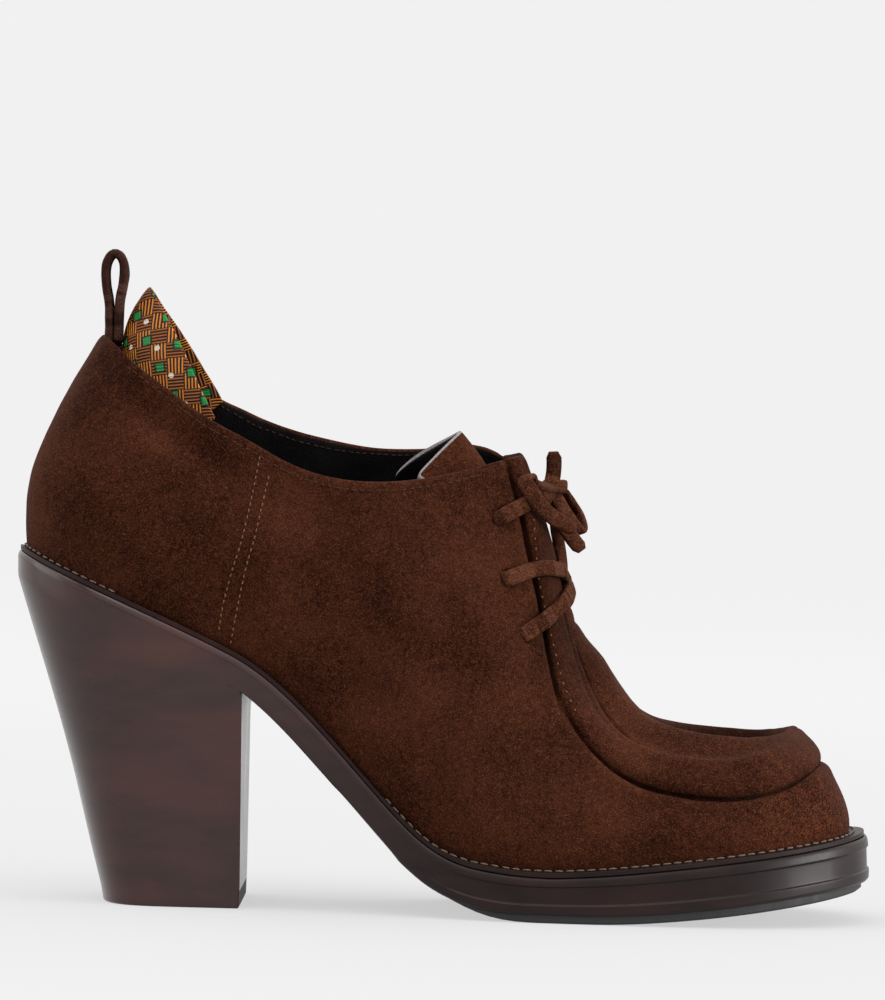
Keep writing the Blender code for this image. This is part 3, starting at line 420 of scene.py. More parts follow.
# Sole and heel: full-length leather sole with a stacked leather block and a rubber top piece under its seat.
# They are glued, sanded flush, stained dark brown and waxed to one shine.
# The forefoot edge keeps a rim and a low band.
HEEL_STAIN = ((0.03, 0.0138, 0.0132), (0.042, 0.0198, 0.0186), (0.058, 0.0232, 0.0188))
SOLE_STAIN = ((0.006, 0.0024, 0.0022), (0.013, 0.005, 0.0046), (0.021, 0.008, 0.0068))
LIFT_BROWN = (0.03, 0.0145, 0.0148)
LIFT_TOP = 0.005
LIFT_FRONT = -0.0551
GLUE_REACH = 0.001
TOE_REACH = 0.0011
HEEL_REACH = 0.0014
LIFT_RAKE = 0.0009
MERGE_REACH = 2e-6


def merged_copy(node):
    shape = bmesh.new()
    shape.from_mesh(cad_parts[node].data)
    bmesh.ops.remove_doubles(shape, verts=shape.verts, dist=MERGE_REACH)
    return shape


def join_flat(shape, flat_angle=25.0, shape_angle=55.0):
    bmesh.ops.join_triangles(
        shape, faces=shape.faces,
        angle_face_threshold=math.radians(flat_angle), angle_shape_threshold=math.radians(shape_angle))


def node_copy(node, flat_angle=25.0, shape_angle=55.0):
    shape = merged_copy(node)
    join_flat(shape, flat_angle, shape_angle)
    return shape


def soften_edges(shape, angle, width, segments=2):
    edges = [edge for edge in shape.edges
             if len(edge.link_faces) == 2 and edge.calc_face_angle(0.0) > math.radians(angle)]
    bmesh.ops.bevel(shape, geom=edges, offset=width, offset_type="OFFSET", affect="EDGES",
                    segments=segments, profile=0.5, clamp_overlap=True, material=-1)


def ease(value, low, high):
    share = min(max((value - low) / (high - low), 0.0), 1.0)
    return share * share * (3.0 - 2.0 * share)


def round_off(piece, levels):
    rounder = piece.modifiers.new("round", "SUBSURF")
    rounder.levels = levels
    rounder.render_levels = levels


def point_tree(points):
    found = KDTree(len(points))
    for number, point in enumerate(points):
        found.insert(point, number)
    found.balance()
    return found


def take_in(shape, other):
    other_mesh = bpy.data.meshes.new("taken_in")
    other.to_mesh(other_mesh)
    other.free()
    shape.from_mesh(other_mesh)


def open_end(shape, way):
    shape.normal_update()
    caps = [face for face in shape.faces if face.normal.z * way > 0.7]
    bmesh.ops.delete(shape, geom=caps, context="FACES")


def glue_below(shape, block, reach):
    above = list(shape.verts)
    above_tree = point_tree([corner.co for corner in above])
    take_in(shape, block)
    meets = {}
    for corner in set(shape.verts) - set(above):
        number, gap = above_tree.find(corner.co)[1:]
        if gap < reach:
            meets[corner] = above[number]
    joint = set(meets.values())
    bmesh.ops.weld_verts(shape, targetmap=meets)
    shape.normal_update()
    covered = [face for face in shape.faces
               if abs(face.normal.z) > 0.5 and all(corner in joint for corner in face.verts)]
    bmesh.ops.delete(shape, geom=covered, context="FACES")


wax_group, wax_in, wax_out = new_group(
    "waxed_edge",
    (("Dark", "Color"), ("Light", "Color"), ("Patch", "Color")),
    (("Colour", "Color"), ("Roughness", "Float"), ("Height", "Float")),
)
place = add_node(wax_group, "ShaderNodeTexCoord").outputs["Object"]
lie = add_node(wax_group, "ShaderNodeMapping", {"Scale": (1.0, 1.0, 3.2)})
wax_group.links.new(place, lie.inputs["Vector"])
layers = grain(wax_group, lie.outputs["Vector"], 70.0, 6.0, 0.65)
patches = grain(wax_group, lie.outputs["Vector"], 24.0, 3.0, 0.5)
clouds = grain(wax_group, place, 40.0, 3.0)
scuffs = grain(wax_group, place, 900.0, 3.0)
stain = blend(wax_group, spread(wax_group, layers, 0.3, 0.7), wax_in.outputs["Dark"], wax_in.outputs["Light"])
mixed = blend(wax_group, spread(wax_group, patches, 0.5, 0.72), stain, wax_in.outputs["Patch"])
wax_group.links.new(mixed, wax_out.inputs["Colour"])
wax_group.links.new(
    reckon(wax_group, "ADD", spread(wax_group, clouds, 0.25, 0.75, 0.22, 0.34),
           spread(wax_group, scuffs, 0.4, 0.8, 0.0, 0.08)), wax_out.inputs["Roughness"])
wax_group.links.new(weighed(wax_group, (clouds, 3.0), (scuffs, 0.3)), wax_out.inputs["Height"])


def place_group(tree, group, **colours):
    values = {title: (*colour, 1.0) for title, colour in colours.items()}
    return add_node(tree, "ShaderNodeGroup", values, node_tree=group)


def add_wax(tree, dark, light, patch):
    return place_group(tree, wax_group, Dark=dark, Light=light, Patch=patch)


sole_coat, tree, shader = new_coat("waxed_sole")
heel_wax = add_wax(tree, *HEEL_STAIN)
sole_wax = add_wax(tree, *SOLE_STAIN)
place = add_node(tree, "ShaderNodeTexCoord").outputs["Object"]
parts = add_node(tree, "ShaderNodeSeparateXYZ")
tree.links.new(place, parts.inputs["Vector"])
forward = spread(tree, parts.outputs["X"], -0.055, 0.005)
tint = blend(tree, forward, heel_wax.outputs["Colour"], sole_wax.outputs["Colour"])
# the top piece has its sides waxed with the heel, but its front face takes no polish
low_down = spread(tree, parts.outputs["Z"], LIFT_TOP + 0.0002, LIFT_TOP - 0.0002)
in_front = spread(tree, parts.outputs["X"], LIFT_FRONT - 0.0007, LIFT_FRONT - 0.0004)
near_heel = spread(tree, parts.outputs["X"], LIFT_FRONT + 0.002, LIFT_FRONT + 0.004, 1.0, 0.0)
lift = reckon(tree, "MULTIPLY", low_down, reckon(tree, "MULTIPLY", in_front, near_heel))
tree.links.new(blend(tree, lift, tint, LIFT_BROWN), shader.inputs["Base Color"])
worn = weighed(tree, (forward, 0.12), (lift, 0.35))
tree.links.new(reckon(tree, "ADD", heel_wax.outputs["Roughness"], worn), shader.inputs["Roughness"])
polish = spread(tree, forward, 0.0, 1.0, 0.3, 0.05)
unpolished = spread(tree, lift, 0.0, 1.0, 1.0, 0.0)
tree.links.new(reckon(tree, "MULTIPLY", polish, unpolished), shader.inputs["Coat Weight"])
set_inputs(shader, {"Specular IOR Level": 0.22, "Coat Roughness": 0.14})
raise_bump(tree, heel_wax.outputs["Height"], 0.3, 0.00012, shader)
sole_shape = merged_copy("outsole")
heel_shape = node_copy("heel_block")
lift_shape = node_copy("top_lift")
open_end(heel_shape, -1)
open_end(lift_shape, 1)
take_in(heel_shape, lift_shape)
open_rims = [edge for edge in heel_shape.edges if len(edge.link_faces) == 1]
bmesh.ops.bridge_loops(heel_shape, edges=open_rims)
glue_below(sole_shape, heel_shape, GLUE_REACH)
join_flat(sole_shape)
for corner in sole_shape.verts:
    corner.co.x += TOE_REACH * ease(corner.co.x, 0.1, 0.122)
    corner.co.x -= HEEL_REACH * ease(-corner.co.x, 0.062, 0.1) * ease(-corner.co.z, -0.045, -0.012)
    corner.co.x += LIFT_RAKE * ease(-corner.co.x, 0.062, 0.09) * ease(-corner.co.z, -0.005, 0.0)
soften_edges(sole_shape, 35.0, 0.0003)
sole = add_piece("sole_and_heel", sole_shape, [sole_coat])
round_off(sole, 2)
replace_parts(sole, "outsole", "heel_block", "top_lift")


# Half sole: thin black rubber sheet glued under the forefoot and trimmed to the sole's outline.
# Its walking face has a fine chequered tread.
SKIVE_FROM = 0.0026
SKIVE_TO = 0.02
SKIVED = 0.0002
TUCK = 0.0008
RUBBER_LAP = 0.0009
RUBBER_DARK = (0.009, 0.0085, 0.0098)
RUBBER_LIGHT = (0.022, 0.021, 0.023)
TREAD_SCALE = 420.0


def full_thickness(x):
    return min(max((x - SKIVE_FROM) / (SKIVE_TO - SKIVE_FROM), 0.0), 1.0)


rubber_shape = node_copy("rubber_forepart")
rubber_shape.normal_update()
upper_side = [corner for corner in rubber_shape.verts
              if any(face.normal.z > 0.7 for face in corner.link_faces)]
upper_tops = point_tree([Vector((corner.co.x, corner.co.y, 0.0)) for corner in upper_side])
for corner in rubber_shape.verts:
    if corner not in upper_side:
        number = upper_tops.find(Vector((corner.co.x, corner.co.y, 0.0)))[1]
        thinnest = upper_side[number].co.z - SKIVED
        corner.co.z = thinnest - (thinnest - corner.co.z) * full_thickness(corner.co.x)
for corner in rubber_shape.verts:
    corner.co.z += TUCK * (1.0 - full_thickness(corner.co.x))
    if corner in upper_side:
        corner.co.z += RUBBER_LAP
soften_edges(rubber_shape, 40.0, 0.0002)
rubber_coat, tree, shader = new_coat("rubber")
place = add_node(tree, "ShaderNodeTexCoord").outputs["Object"]
dust = grain(tree, place, 300.0, 4.0, 0.6)
tread = add_node(tree, "ShaderNodeTexChecker", {"Scale": TREAD_SCALE})
tree.links.new(place, tread.inputs["Vector"])
tree.links.new(
    blend(tree, spread(tree, dust, 0.35, 0.75), RUBBER_DARK, RUBBER_LIGHT), shader.inputs["Base Color"])
tree.links.new(spread(tree, dust, 0.3, 0.7, 0.55, 0.8), shader.inputs["Roughness"])
raise_bump(tree, reckon(tree, "ADD", tread.outputs["Fac"], dust), 0.4, 0.0003, shader)
rubber = add_piece("rubber_forepart", rubber_shape, [rubber_coat])
round_off(rubber, 1)
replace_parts(rubber, "rubber_forepart")


# Sock: board cut to the inside of the sole and covered in smooth black leather.
# It is glued down on the sole inside the upper, whose lining is the same leather.
LINING_DARK = (0.0015, 0.0014, 0.0014)
LINING_LIGHT = (0.005, 0.0045, 0.0045)
sock_shape = node_copy("insole")
soften_edges(sock_shape, 40.0, 0.0003)
pore_group, pore_in, pore_out = new_group(
    "smooth_leather",
    (("Dark", "Color"), ("Light", "Color")),
    (("Colour", "Color"), ("Roughness", "Float"), ("Height", "Float")),
)
place = add_node(pore_group, "ShaderNodeTexCoord").outputs["Object"]
cells = add_node(pore_group, "ShaderNodeTexVoronoi", {"Scale": 900.0}, feature="DISTANCE_TO_EDGE")
pore_group.links.new(place, cells.inputs["Vector"])
pores = spread(pore_group, cells.outputs["Distance"], 0.0, 0.25)
shade = grain(pore_group, place, 70.0, 4.0)
pore_group.links.new(
    blend(pore_group, spread(pore_group, shade, 0.3, 0.7), pore_in.outputs["Dark"], pore_in.outputs["Light"]),
    pore_out.inputs["Colour"])
pore_group.links.new(spread(pore_group, shade, 0.3, 0.7, 0.38, 0.55), pore_out.inputs["Roughness"])
pore_group.links.new(pores, pore_out.inputs["Height"])
sock_coat, tree, shader = new_coat("sock_leather")
pore = place_group(tree, pore_group, Dark=LINING_DARK, Light=LINING_LIGHT)
tree.links.new(pore.outputs["Colour"], shader.inputs["Base Color"])
tree.links.new(pore.outputs["Roughness"], shader.inputs["Roughness"])
raise_bump(tree, pore.outputs["Height"], 0.3, 0.0001, shader)
sock = add_piece("sock", sock_shape, [sock_coat])
round_off(sock, 1)
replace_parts(sock, "insole")


# Upper: suede quarters, vamp wall, rolled apron strip and plug, sewn together and closed over the last.
# It is lined in black leather, which stops short of the collar, where the suede is turned in and sewn down.
INSIDE = 1
SUEDE_DARK = (0.012, 0.0024, 0.0007)
SUEDE_LIGHT = (0.09, 0.0274, 0.0124)
# painted light: the lighter suede colour that the toe front is blended towards, where light falls on it
SUEDE_PAINTED_LIT = (0.17, 0.05, 0.0215)
# the colour of the painted shade in seams, round eyelets, in creases and hollows
SEAM_SHADE = (0.003, 0.0008, 0.0004)
TURNED_IN = 1.3
FAR_LIFT = 1.9
FAR_RISE = 0.9
PLUG_TOP = 1.6
PLUG_FLOOR = 38.0
TROUGH_DEEP = 3.6
SHADE_MOST = 0.92
upper_shape = node_copy("upper", 40.0, 70.0)
last_tree = BVHTree.FromBMesh(upper_shape)


def flood(shape, seed, sharp):
    found = {seed}
    open_faces = [seed]
    while open_faces:
        face = open_faces.pop()
        for edge in face.edges:
            if len(edge.link_faces) == 2 and edge.calc_face_angle_signed(0.0) < math.radians(sharp):
                for other in edge.link_faces:
                    if other not in found:
                        found.add(other)
                        open_faces.append(other)
    return found


def face_towards(shape, start, way):
    tree = BVHTree.FromBMesh(shape)
    shape.faces.ensure_lookup_table()
    return shape.faces[tree.ray_cast(start, way)[2]]


lining_seed = face_towards(upper_shape, spot(75.0, 0.0, 110.0), Vector((0.0, -1.0, 0.0)))
for face in flood(upper_shape, lining_seed, 62.0):
    face.material_index = INSIDE
groove_edge = upper_shape.edges.layers.float.new("crease_edge")
grooves = [edge for edge in upper_shape.edges
           if len(edge.link_faces) == 2 and edge.calc_face_angle_signed(0.0) < -math.radians(24.0)]
groove_ends = [corner for edge in grooves for corner in edge.verts]
groove_spots = []
for edge in grooves:
    if min(groove_ends.count(corner) for corner in edge.verts) > 1:
        edge[groove_edge] = 0.8
        if edge.link_faces[0].material_index != INSIDE:
            first, last = (corner.co.copy() for corner in edge.verts)
            groove_spots += [first.lerp(last, step / 8.0) for step in range(9)]
groove_tree = point_tree(groove_spots)
base_mesh = bpy.data.meshes.new("upper_base")
upper_shape.to_mesh(base_mesh)
upper_shape.free()
base = bpy.data.objects.new("upper_base", base_mesh)
bpy.context.scene.collection.objects.link(base)
round_off(base, 2)
even_mesh = base.evaluated_get(bpy.context.evaluated_depsgraph_get()).to_mesh()
upper_shape = bmesh.new()
upper_shape.from_mesh(even_mesh)
bpy.data.objects.remove(base)

COLLAR = (
    (22.4, 161.2, 161.2), (26.3, 158.5, 159.4), (31.0, 154.3, 157.0), (41.2, 146.9, 152.2),
    (52.5, 138.8, 145.8), (66.0, 131.9, 138.6), (78.5, 125.2, 134.4), (88.0, 122.3, 132.4),
    (97.0, 121.2, 131.5), (108.0, 121.6, 131.2), (118.0, 123.1, 131.6), (127.0, 125.3, 131.6),
    (138.3, 128.6, 129.4),
)


def collar(side, along):
    return float(np.interp(along, [row[0] for row in COLLAR], [row[1 if side < 0 else 2] for row in COLLAR]))


# rises from start to full and falls again from wane to end
def between(value, start, full, wane, end):
    return ease(value, start, full) * (1.0 - ease(value, wane, end))


def bell(gap, half_wide):
    return math.exp(-(gap / half_wide) ** 2)


def both_sides(points):
    return point_tree([spot(along, side * out, height) for along, out, height in points for side in (-1, 1)])


# inner edge of the rolled strip from the throat round the toe
# towards the toe strip and plug run into one roll
STRIP_EDGE = (
    (165.2, 17.5, 62.2), (172.0, 24.0, 52.5), (179.6, 29.0, 47.6), (187.3, 31.8, 45.8), (198.5, 32.5, 44.9),
    (208.0, 30.0, 45.6), (216.0, 24.0, 47.8), (221.0, 13.0, 50.9), (223.8, 0.0, 52.8),
)
edge_tree = both_sides(smooth_line(STRIP_EDGE, 80))

# crease between the strip and the plug, sharp below the throat and gone at the toe
PLUG_CREASE = (
    (155.4, 15.4, 90.5), (156.7, 16.0, 85.1), (158.9, 17.1, 77.4), (161.7, 19.8, 68.9), (165.4, 23.1, 60.4),
    (170.7, 26.5, 53.5), (177.2, 30.6, 48.5),
)
crease_tree = both_sides(smooth_line(PLUG_CREASE, 60))

# trough behind the crest of the apron: along and half width
TROUGH = (
    (178.0, 8.0), (184.0, 13.0), (191.0, 16.5), (198.5, 18.5), (206.0, 17.5), (212.0, 13.5), (217.0, 8.0))


def trough_wide(along):
    return np.interp(along, [row[0] for row in TROUGH], [row[1] for row in TROUGH])


def trough(along, out):
    half_wide = trough_wide(along)
    return TROUGH_DEEP * between(along, 178.0, 188.0, 213.0, 219.0) * (
        1.0 - ease(abs(out), half_wide - 2.0, half_wide + 3.5))


# painted shade on the far wall of the trough behind the crest of the apron
def wall_shade(along, out):
    half_wide = trough_wide(along)
    beside = 1.0 - ease(abs(out), half_wide + 4.0, half_wide + 9.0)
    return between(along, 176.0, 184.0, 214.0, 220.0) * beside * ease(out, -4.0, 6.0)


# creases and soft folds pressed in: line of (along, height), depth and half width in millimetres
FOLDS = (
    (((25.0, 151.0), (30.0, 144.0), (39.0, 136.5), (52.0, 127.5), (60.0, 122.0)), -1.9, 4.5),
    (((229.5, 40.0), (232.0, 34.0), (233.5, 27.0)), 1.0, 5.0),
    (((27.0, 140.0), (31.0, 131.0), (34.0, 121.0)), -0.5, 5.0),
    (((44.0, 126.0), (53.0, 118.0), (58.0, 108.0)), 0.4, 6.0),
    (((80.0, 112.0), (92.0, 100.0), (100.0, 84.0)), -0.9, 11.0),
    (((78.0, 92.0), (90.0, 76.0), (99.0, 60.0)), -0.8, 7.0),
    (((70.0, 98.0), (82.0, 84.0), (90.0, 68.0)), 0.6, 7.0),
    (((112.0, 104.0), (124.0, 100.0), (134.0, 103.0)), -0.6, 6.0),
    (((104.0, 60.0), (114.0, 50.0), (120.0, 38.0)), -0.6, 6.0),
    (((138.0, 78.0), (135.0, 62.0), (131.0, 45.0)), 0.6, 6.0),
    (((126.0, 80.0), (124.0, 62.0), (120.0, 44.0)), -0.6, 6.0),
    (((141.0, 88.0), (132.0, 88.5), (122.0, 86.0)), -0.4, 3.5),
    (((150.0, 60.0), (146.0, 46.0), (142.0, 30.0)), -0.5, 5.0),
    (((163.0, 40.0), (160.0, 30.0), (156.0, 20.0)), 0.4, 5.0),
)
fold_lines = [(smooth_line(points, 24), depth, half_wide) for points, depth, half_wide in FOLDS]


def fold_push(along, height):
    push = 0.0
    for flat_line, depth, half_wide in fold_lines:
        gap = np.hypot(flat_line[:, 0] - along, flat_line[:, 1] - height).min()
        if gap < 3.0 * half_wide:
            push += depth * bell(gap, half_wide)
    return push


near_seams = {edge for face in upper_shape.faces
              if groove_tree.find(face.calc_center_median())[2] < 0.0026 for edge in face.edges}
bmesh.ops.subdivide_edges(upper_shape, edges=list(near_seams), cuts=1, use_grid_fill=True)
EYELETS = ((136.4, 21.0, 111.5), (139.8, 24.9, 94.6), (143.3, 26.6, 78.4))
eyelet_tree = both_sides(EYELETS)
lining_depth = upper_shape.verts.layers.float.new("lining_depth")
shaded = upper_shape.verts.layers.float.new("shaded")
painted_toe_light = upper_shape.verts.layers.float.new("painted_toe_light")
upper_shape.normal_update()


def gap_to(tree, corner):
    return tree.find(corner.co)[2] / MM


moves = []
for corner in upper_shape.verts:
    along = corner.co.x * 1000.0 + HEEL_TO_MIDDLE
    out = corner.co.y * 1000.0
    height = corner.co.z * 1000.0
    side = -1 if out < 0.0 else 1
    on_plug = height > PLUG_FLOOR

    # the far collar stands a little higher, the plug dips behind its crest and is drawn in at the throat
    far = ease(out, 4.0, 11.0)
    lifted = FAR_LIFT * far * ease(height, 114.0, 126.0) * ease(along, 114.0, 128.0)
    lifted *= 1.0 - 0.85 * ease(along, 132.0, 141.0)
    near_rim = ease(height - collar(1, along), -10.0, -2.0)
    lifted += FAR_RISE * far * near_rim * between(along, 54.0, 64.0, 84.0, 104.0)
    sunk = trough(along, out) if on_plug else 0.0
    corner.co.z += MM * (lifted - sunk)
    drawn_in = PLUG_TOP * between(height, 72.0, 79.0, 82.0, 88.0) * (1.0 - ease(abs(out), 11.0, 15.0))
    corner.co.x -= MM * drawn_in * ease(along, 150.0, 156.0)
    if all(face.material_index == INSIDE for face in corner.link_faces):
        corner[lining_depth] = collar(side, along) - height - TURNED_IN
        continue
    corner[lining_depth] = -5.0

    # seams, eyelets and creases are pressed in, the rolled edge stands out
    merged = ease(along, 168.0, 182.0)
    at_edge = bell(gap_to(edge_tree, corner), 2.2)
    seam = bell(gap_to(groove_tree, corner), 0.6) * (1.0 - merged * min(2.0 * at_edge, 1.0))
    hole = bell(gap_to(eyelet_tree, corner), 1.7)
    crease = bell(gap_to(crease_tree, corner), 0.9) * (1.0 - ease(along, 166.0, 177.0))
    seam_deep = 1.1 - 0.6 * ease(along, 195.0, 212.0)
    push = fold_push(along, height)
    push += 1.5 * merged * at_edge - seam_deep * seam - 1.3 * hole - 0.9 * crease
    push += 0.25 * noise.noise(corner.co * 55.0) + 0.12 * noise.noise(corner.co * 150.0)
    moves.append((corner, corner.normal * push * MM))

    # painted shade: the nap is darkened in the seams, round the eyelets, along the plug crease, on the far
    # wall of the trough and under the bow at the throat, and the crest near the toe is darker too
    far_wall = 0.45 * wall_shade(along, out) if on_plug else 0.0
    throat = 0.35 * ease(along, 146.0, 149.0) * between(height, 60.0, 74.0, 110.0, 117.0)
    crest = 0.25 * ease(along, 208.0, 217.0) * ease(height, 46.5, 50.5)
    corner[shaded] = min(0.6 * seam + 0.9 * hole + 0.45 * crease + far_wall + throat + crest, SHADE_MOST)
    # painted light: the nap of the toe front is made lighter where light falls on it
    corner[painted_toe_light] = 0.65 * ease(along, 200.0, 230.0) * (1.0 - ease(height, 36.0, 47.0))
for corner, move in moves:
    corner.co += move
for face in upper_shape.faces:
    face.material_index = 0
upper_tree = BVHTree.FromBMesh(upper_shape)

upper_coat, tree, shader = new_coat("suede")
nap = lay_nap(tree, shader, SUEDE_DARK, SUEDE_LIGHT, 0.45, 0.05)
# painted light on the toe front: its nap is blended towards the lighter suede colour
paler = add_node(tree, "ShaderNodeAttribute", attribute_name="painted_toe_light").outputs["Fac"]
tree.links.new(blend(tree, paler, SUEDE_LIGHT, SUEDE_PAINTED_LIT), nap.inputs["Light"])
pore = place_group(tree, pore_group, Dark=LINING_DARK, Light=LINING_LIGHT)
inner = add_node(tree, "ShaderNodeAttribute", attribute_name="lining_depth").outputs["Fac"]
lined = spread(tree, inner, -0.1, 0.1)
# painted shade: the shaded attribute blends the nap towards the shade colour
in_shade = add_node(tree, "ShaderNodeAttribute", attribute_name="shaded").outputs["Fac"]
shown = blend(tree, in_shade, nap.outputs["Colour"], SEAM_SHADE)
tree.links.new(blend(tree, lined, shown, pore.outputs["Colour"]), shader.inputs["Base Color"])
rough = add_node(tree, "ShaderNodeMix", data_type="FLOAT")
tree.links.new(lined, rough.inputs["Factor"])
tree.links.new(nap.outputs["Roughness"], rough.inputs["A"])
tree.links.new(pore.outputs["Roughness"], rough.inputs["B"])
tree.links.new(rough.outputs["Result"], shader.inputs["Roughness"])
upper = add_piece("upper", upper_shape, [upper_coat])
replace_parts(upper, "upper")


# Stitching of the upper: waxed thread, with two tan rows down the counter seam and one beside the throat.
# Brown rows run under the collar, outside and where the turned-in suede is sewn to the lining.
# A stitch is its pitch, length, width and height.
COUNTER_STITCH = (0.0019, 0.0012, 0.0005, 0.00045)
STRIP_STITCH = (0.0028, 0.0008, 0.0005, 0.0004)
COLLAR_STITCH = (0.0023, 0.0016, 0.00045, 0.0004)
LINING_STITCH = (0.0021, 0.0014, 0.0004, 0.0004)
TAN_THREAD = ((0.06, 0.025, 0.011), (0.22, 0.105, 0.05))
BROWN_THREAD = ((0.014, 0.005, 0.003), (0.07, 0.03, 0.016))


def thread_coat(name, dark, light):
    coat, tree, shader = new_coat(name)
    place = add_node(tree, "ShaderNodeTexCoord").outputs["Object"]
    twist = add_node(
        tree, "ShaderNodeTexWave", {"Scale": 900.0, "Distortion": 2.0}, bands_direction="DIAGONAL")
    tree.links.new(place, twist.inputs["Vector"])
    tree.links.new(blend(tree, twist.outputs["Fac"], dark, light), shader.inputs["Base Color"])
    tree.links.new(spread(tree, twist.outputs["Fac"], 0.0, 1.0, 0.7, 0.5), shader.inputs["Roughness"])
    set_inputs(shader, {"Specular IOR Level": 0.12})
    raise_bump(tree, twist.outputs["Fac"], 0.4, 0.0001, shader)
    return coat


def add_stitch(shape, centre, along, up, length, wide, high):
    along = along.normalized()
    across = up.cross(along).normalized()
    up = along.cross(across)
    turn = Matrix((across * wide, up * high, along * length)).transposed().to_4x4()
    bmesh.ops.create_uvsphere(
        shape, u_segments=6, v_segments=4, radius=0.5, matrix=Matrix.Translation(centre) @ turn)


def on_wall(side, along, height, from_inside=False):
    start = spot(along, 0.0 if from_inside else side * 120.0, height)
    way = Vector((0.0, side if from_inside else -side, 0.0))
    return upper_tree.ray_cast(start, way)[:2]


def stitch_row(shape, side, points, stitch, from_inside=False):
    pitch, length, wide, high = stitch
    line = smooth_line(points, 200)
    hits = [on_wall(side, along, height, from_inside) for along, height in line]
    hits = [hit for hit in hits if hit[0] is not None]
    run = 0.0
    for (before, up), next_hit in zip(hits, hits[1:]):
        after = next_hit[0]
        run += (after - before).length
        if run >= pitch:
            run -= pitch
            add_stitch(shape, after + up * high * 0.2, after - before, up, length, wide, high)


COUNTER_ROWS = (
    ((69.8, 128.5), (67.2, 113.3), (65.0, 102.6), (62.4, 93.3), (60.2, 83.1), (59.5, 77.5)),
    ((72.5, 123.0), (70.8, 114.5), (68.9, 104.7), (66.6, 95.4), (64.9, 86.4), (63.0, 74.8)),
)
STRIP_ROW = (
    (146.4, 117.0), (147.4, 106.0), (148.8, 94.6), (151.6, 83.2), (153.8, 74.6), (156.6, 65.2), (160.6, 57.0))
tan_shape = bmesh.new()
brown_shape = bmesh.new()
for side in (-1, 1):
    for row in COUNTER_ROWS:
        stitch_row(tan_shape, side, row, COUNTER_STITCH)
    stitch_row(tan_shape, side, STRIP_ROW, STRIP_STITCH)
    edge_row = [(along, collar(side, along) - 3.0) for along in range(30, 138, 6)]
    stitch_row(brown_shape, side, edge_row, COLLAR_STITCH)
    inner_row = [(along, collar(side, along) - 2.3) for along in range(36, 132, 6)]
    stitch_row(brown_shape, side, inner_row, LINING_STITCH, True)
add_piece("tan_stitching", tan_shape, [thread_coat("tan_thread", *TAN_THREAD)])
add_piece("brown_stitching", brown_shape, [thread_coat("brown_thread", *BROWN_THREAD)])


# Welt: narrow dark leather strip sewn round the foot of the upper.
# The sole is sewn to it from above with pale linen thread, which is hidden along the waist.
WELT_SEAT = 0.0003
WELT_TOUCH = 0.0012
WELT_LAP = 1.3
WELT_STAIN = ((0.008, 0.004, 0.0034), (0.018, 0.0095, 0.0085), (0.026, 0.014, 0.0115))
WELT_BACK_STAIN = ((0.013, 0.0055, 0.005), (0.022, 0.0098, 0.009), (0.03, 0.012, 0.0095))
WELT_PITCH = 0.003
WELT_STITCH = (0.0024, 0.0007, 0.0006)
LINEN_THREAD = ((0.045, 0.03, 0.022), (0.2, 0.145, 0.11))
WAIST = (-0.091, -0.015)
UP = Vector((0.0, 0.0, 1.0))
welt_shape = node_copy("welt")
inner_corners = [corner for corner in welt_shape.verts if last_tree.find_nearest(corner.co)[3] < WELT_TOUCH]
for corner in inner_corners:
    near = upper_tree.find_nearest(corner.co)[0]
    corner.co.x += (near.x - corner.co.x) * WELT_LAP
    corner.co.y += (near.y - corner.co.y) * WELT_LAP
welt_shape.normal_update()
tops = [face for face in welt_shape.faces if face.normal.z > 0.5]
inner_set = set(inner_corners)
cross_edges = {edge for face in tops for edge in face.edges
               if (edge.verts[0] in inner_set) != (edge.verts[1] in inner_set)}
ring = {}
for edge in cross_edges:
    inside, outside = edge.verts if edge.verts[0] in inner_set else reversed(edge.verts)
    ring[inside] = outside
ordered = [min(ring, key=lambda corner: corner.co.x)]
waiting = set(ring) - set(ordered)
while waiting:
    ordered.append(min(waiting, key=lambda corner: (corner.co - ordered[-1].co).length))
    waiting.remove(ordered[-1])
welt_line = [(corner.co.copy(), ring[corner].co.copy()) for corner in ordered]
bmesh.ops.subdivide_edges(welt_shape, edges=list(cross_edges), cuts=5)
for corner in welt_shape.verts:
    corner.co.z -= WELT_SEAT
soften_edges(welt_shape, 40.0, 0.00012)
welt_coat, tree, shader = new_coat("welt_leather")
wax = add_wax(tree, *WELT_STAIN)
back_wax = add_wax(tree, *WELT_BACK_STAIN)
parts = add_node(tree, "ShaderNodeSeparateXYZ")
tree.links.new(add_node(tree, "ShaderNodeTexCoord").outputs["Object"], parts.inputs["Vector"])
forward = spread(tree, parts.outputs["X"], -0.05, 0.0)
tree.links.new(
    blend(tree, forward, back_wax.outputs["Colour"], wax.outputs["Colour"]), shader.inputs["Base Color"])
tree.links.new(reckon(tree, "ADD", wax.outputs["Roughness"], 0.18), shader.inputs["Roughness"])
set_inputs(shader, {"Specular IOR Level": 0.15})
raise_bump(tree, wax.outputs["Height"], 0.3, 0.0002, shader)
welt = add_piece("welt", welt_shape, [welt_coat])
round_off(welt, 2)
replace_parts(welt, "welt")
linen_shape = bmesh.new()
seam_line = [inside.lerp(outside, 0.36) for inside, outside in welt_line]
seam_line.append(seam_line[0])
even_line = smooth_line([tuple(point) for point in seam_line], 2400)
run = 0.0
for before, after in zip(even_line, even_line[1:]):
    run += float(np.linalg.norm(after - before))
    if run >= WELT_PITCH:
        run -= WELT_PITCH
        if not WAIST[0] < after[0] < WAIST[1]:
            add_stitch(linen_shape, Vector(after) + UP * 0.0001, Vector(after - before), UP, *WELT_STITCH)
linen_thread = thread_coat("linen_thread", *LINEN_THREAD)
add_piece("welt_stitching", linen_shape, [linen_thread])


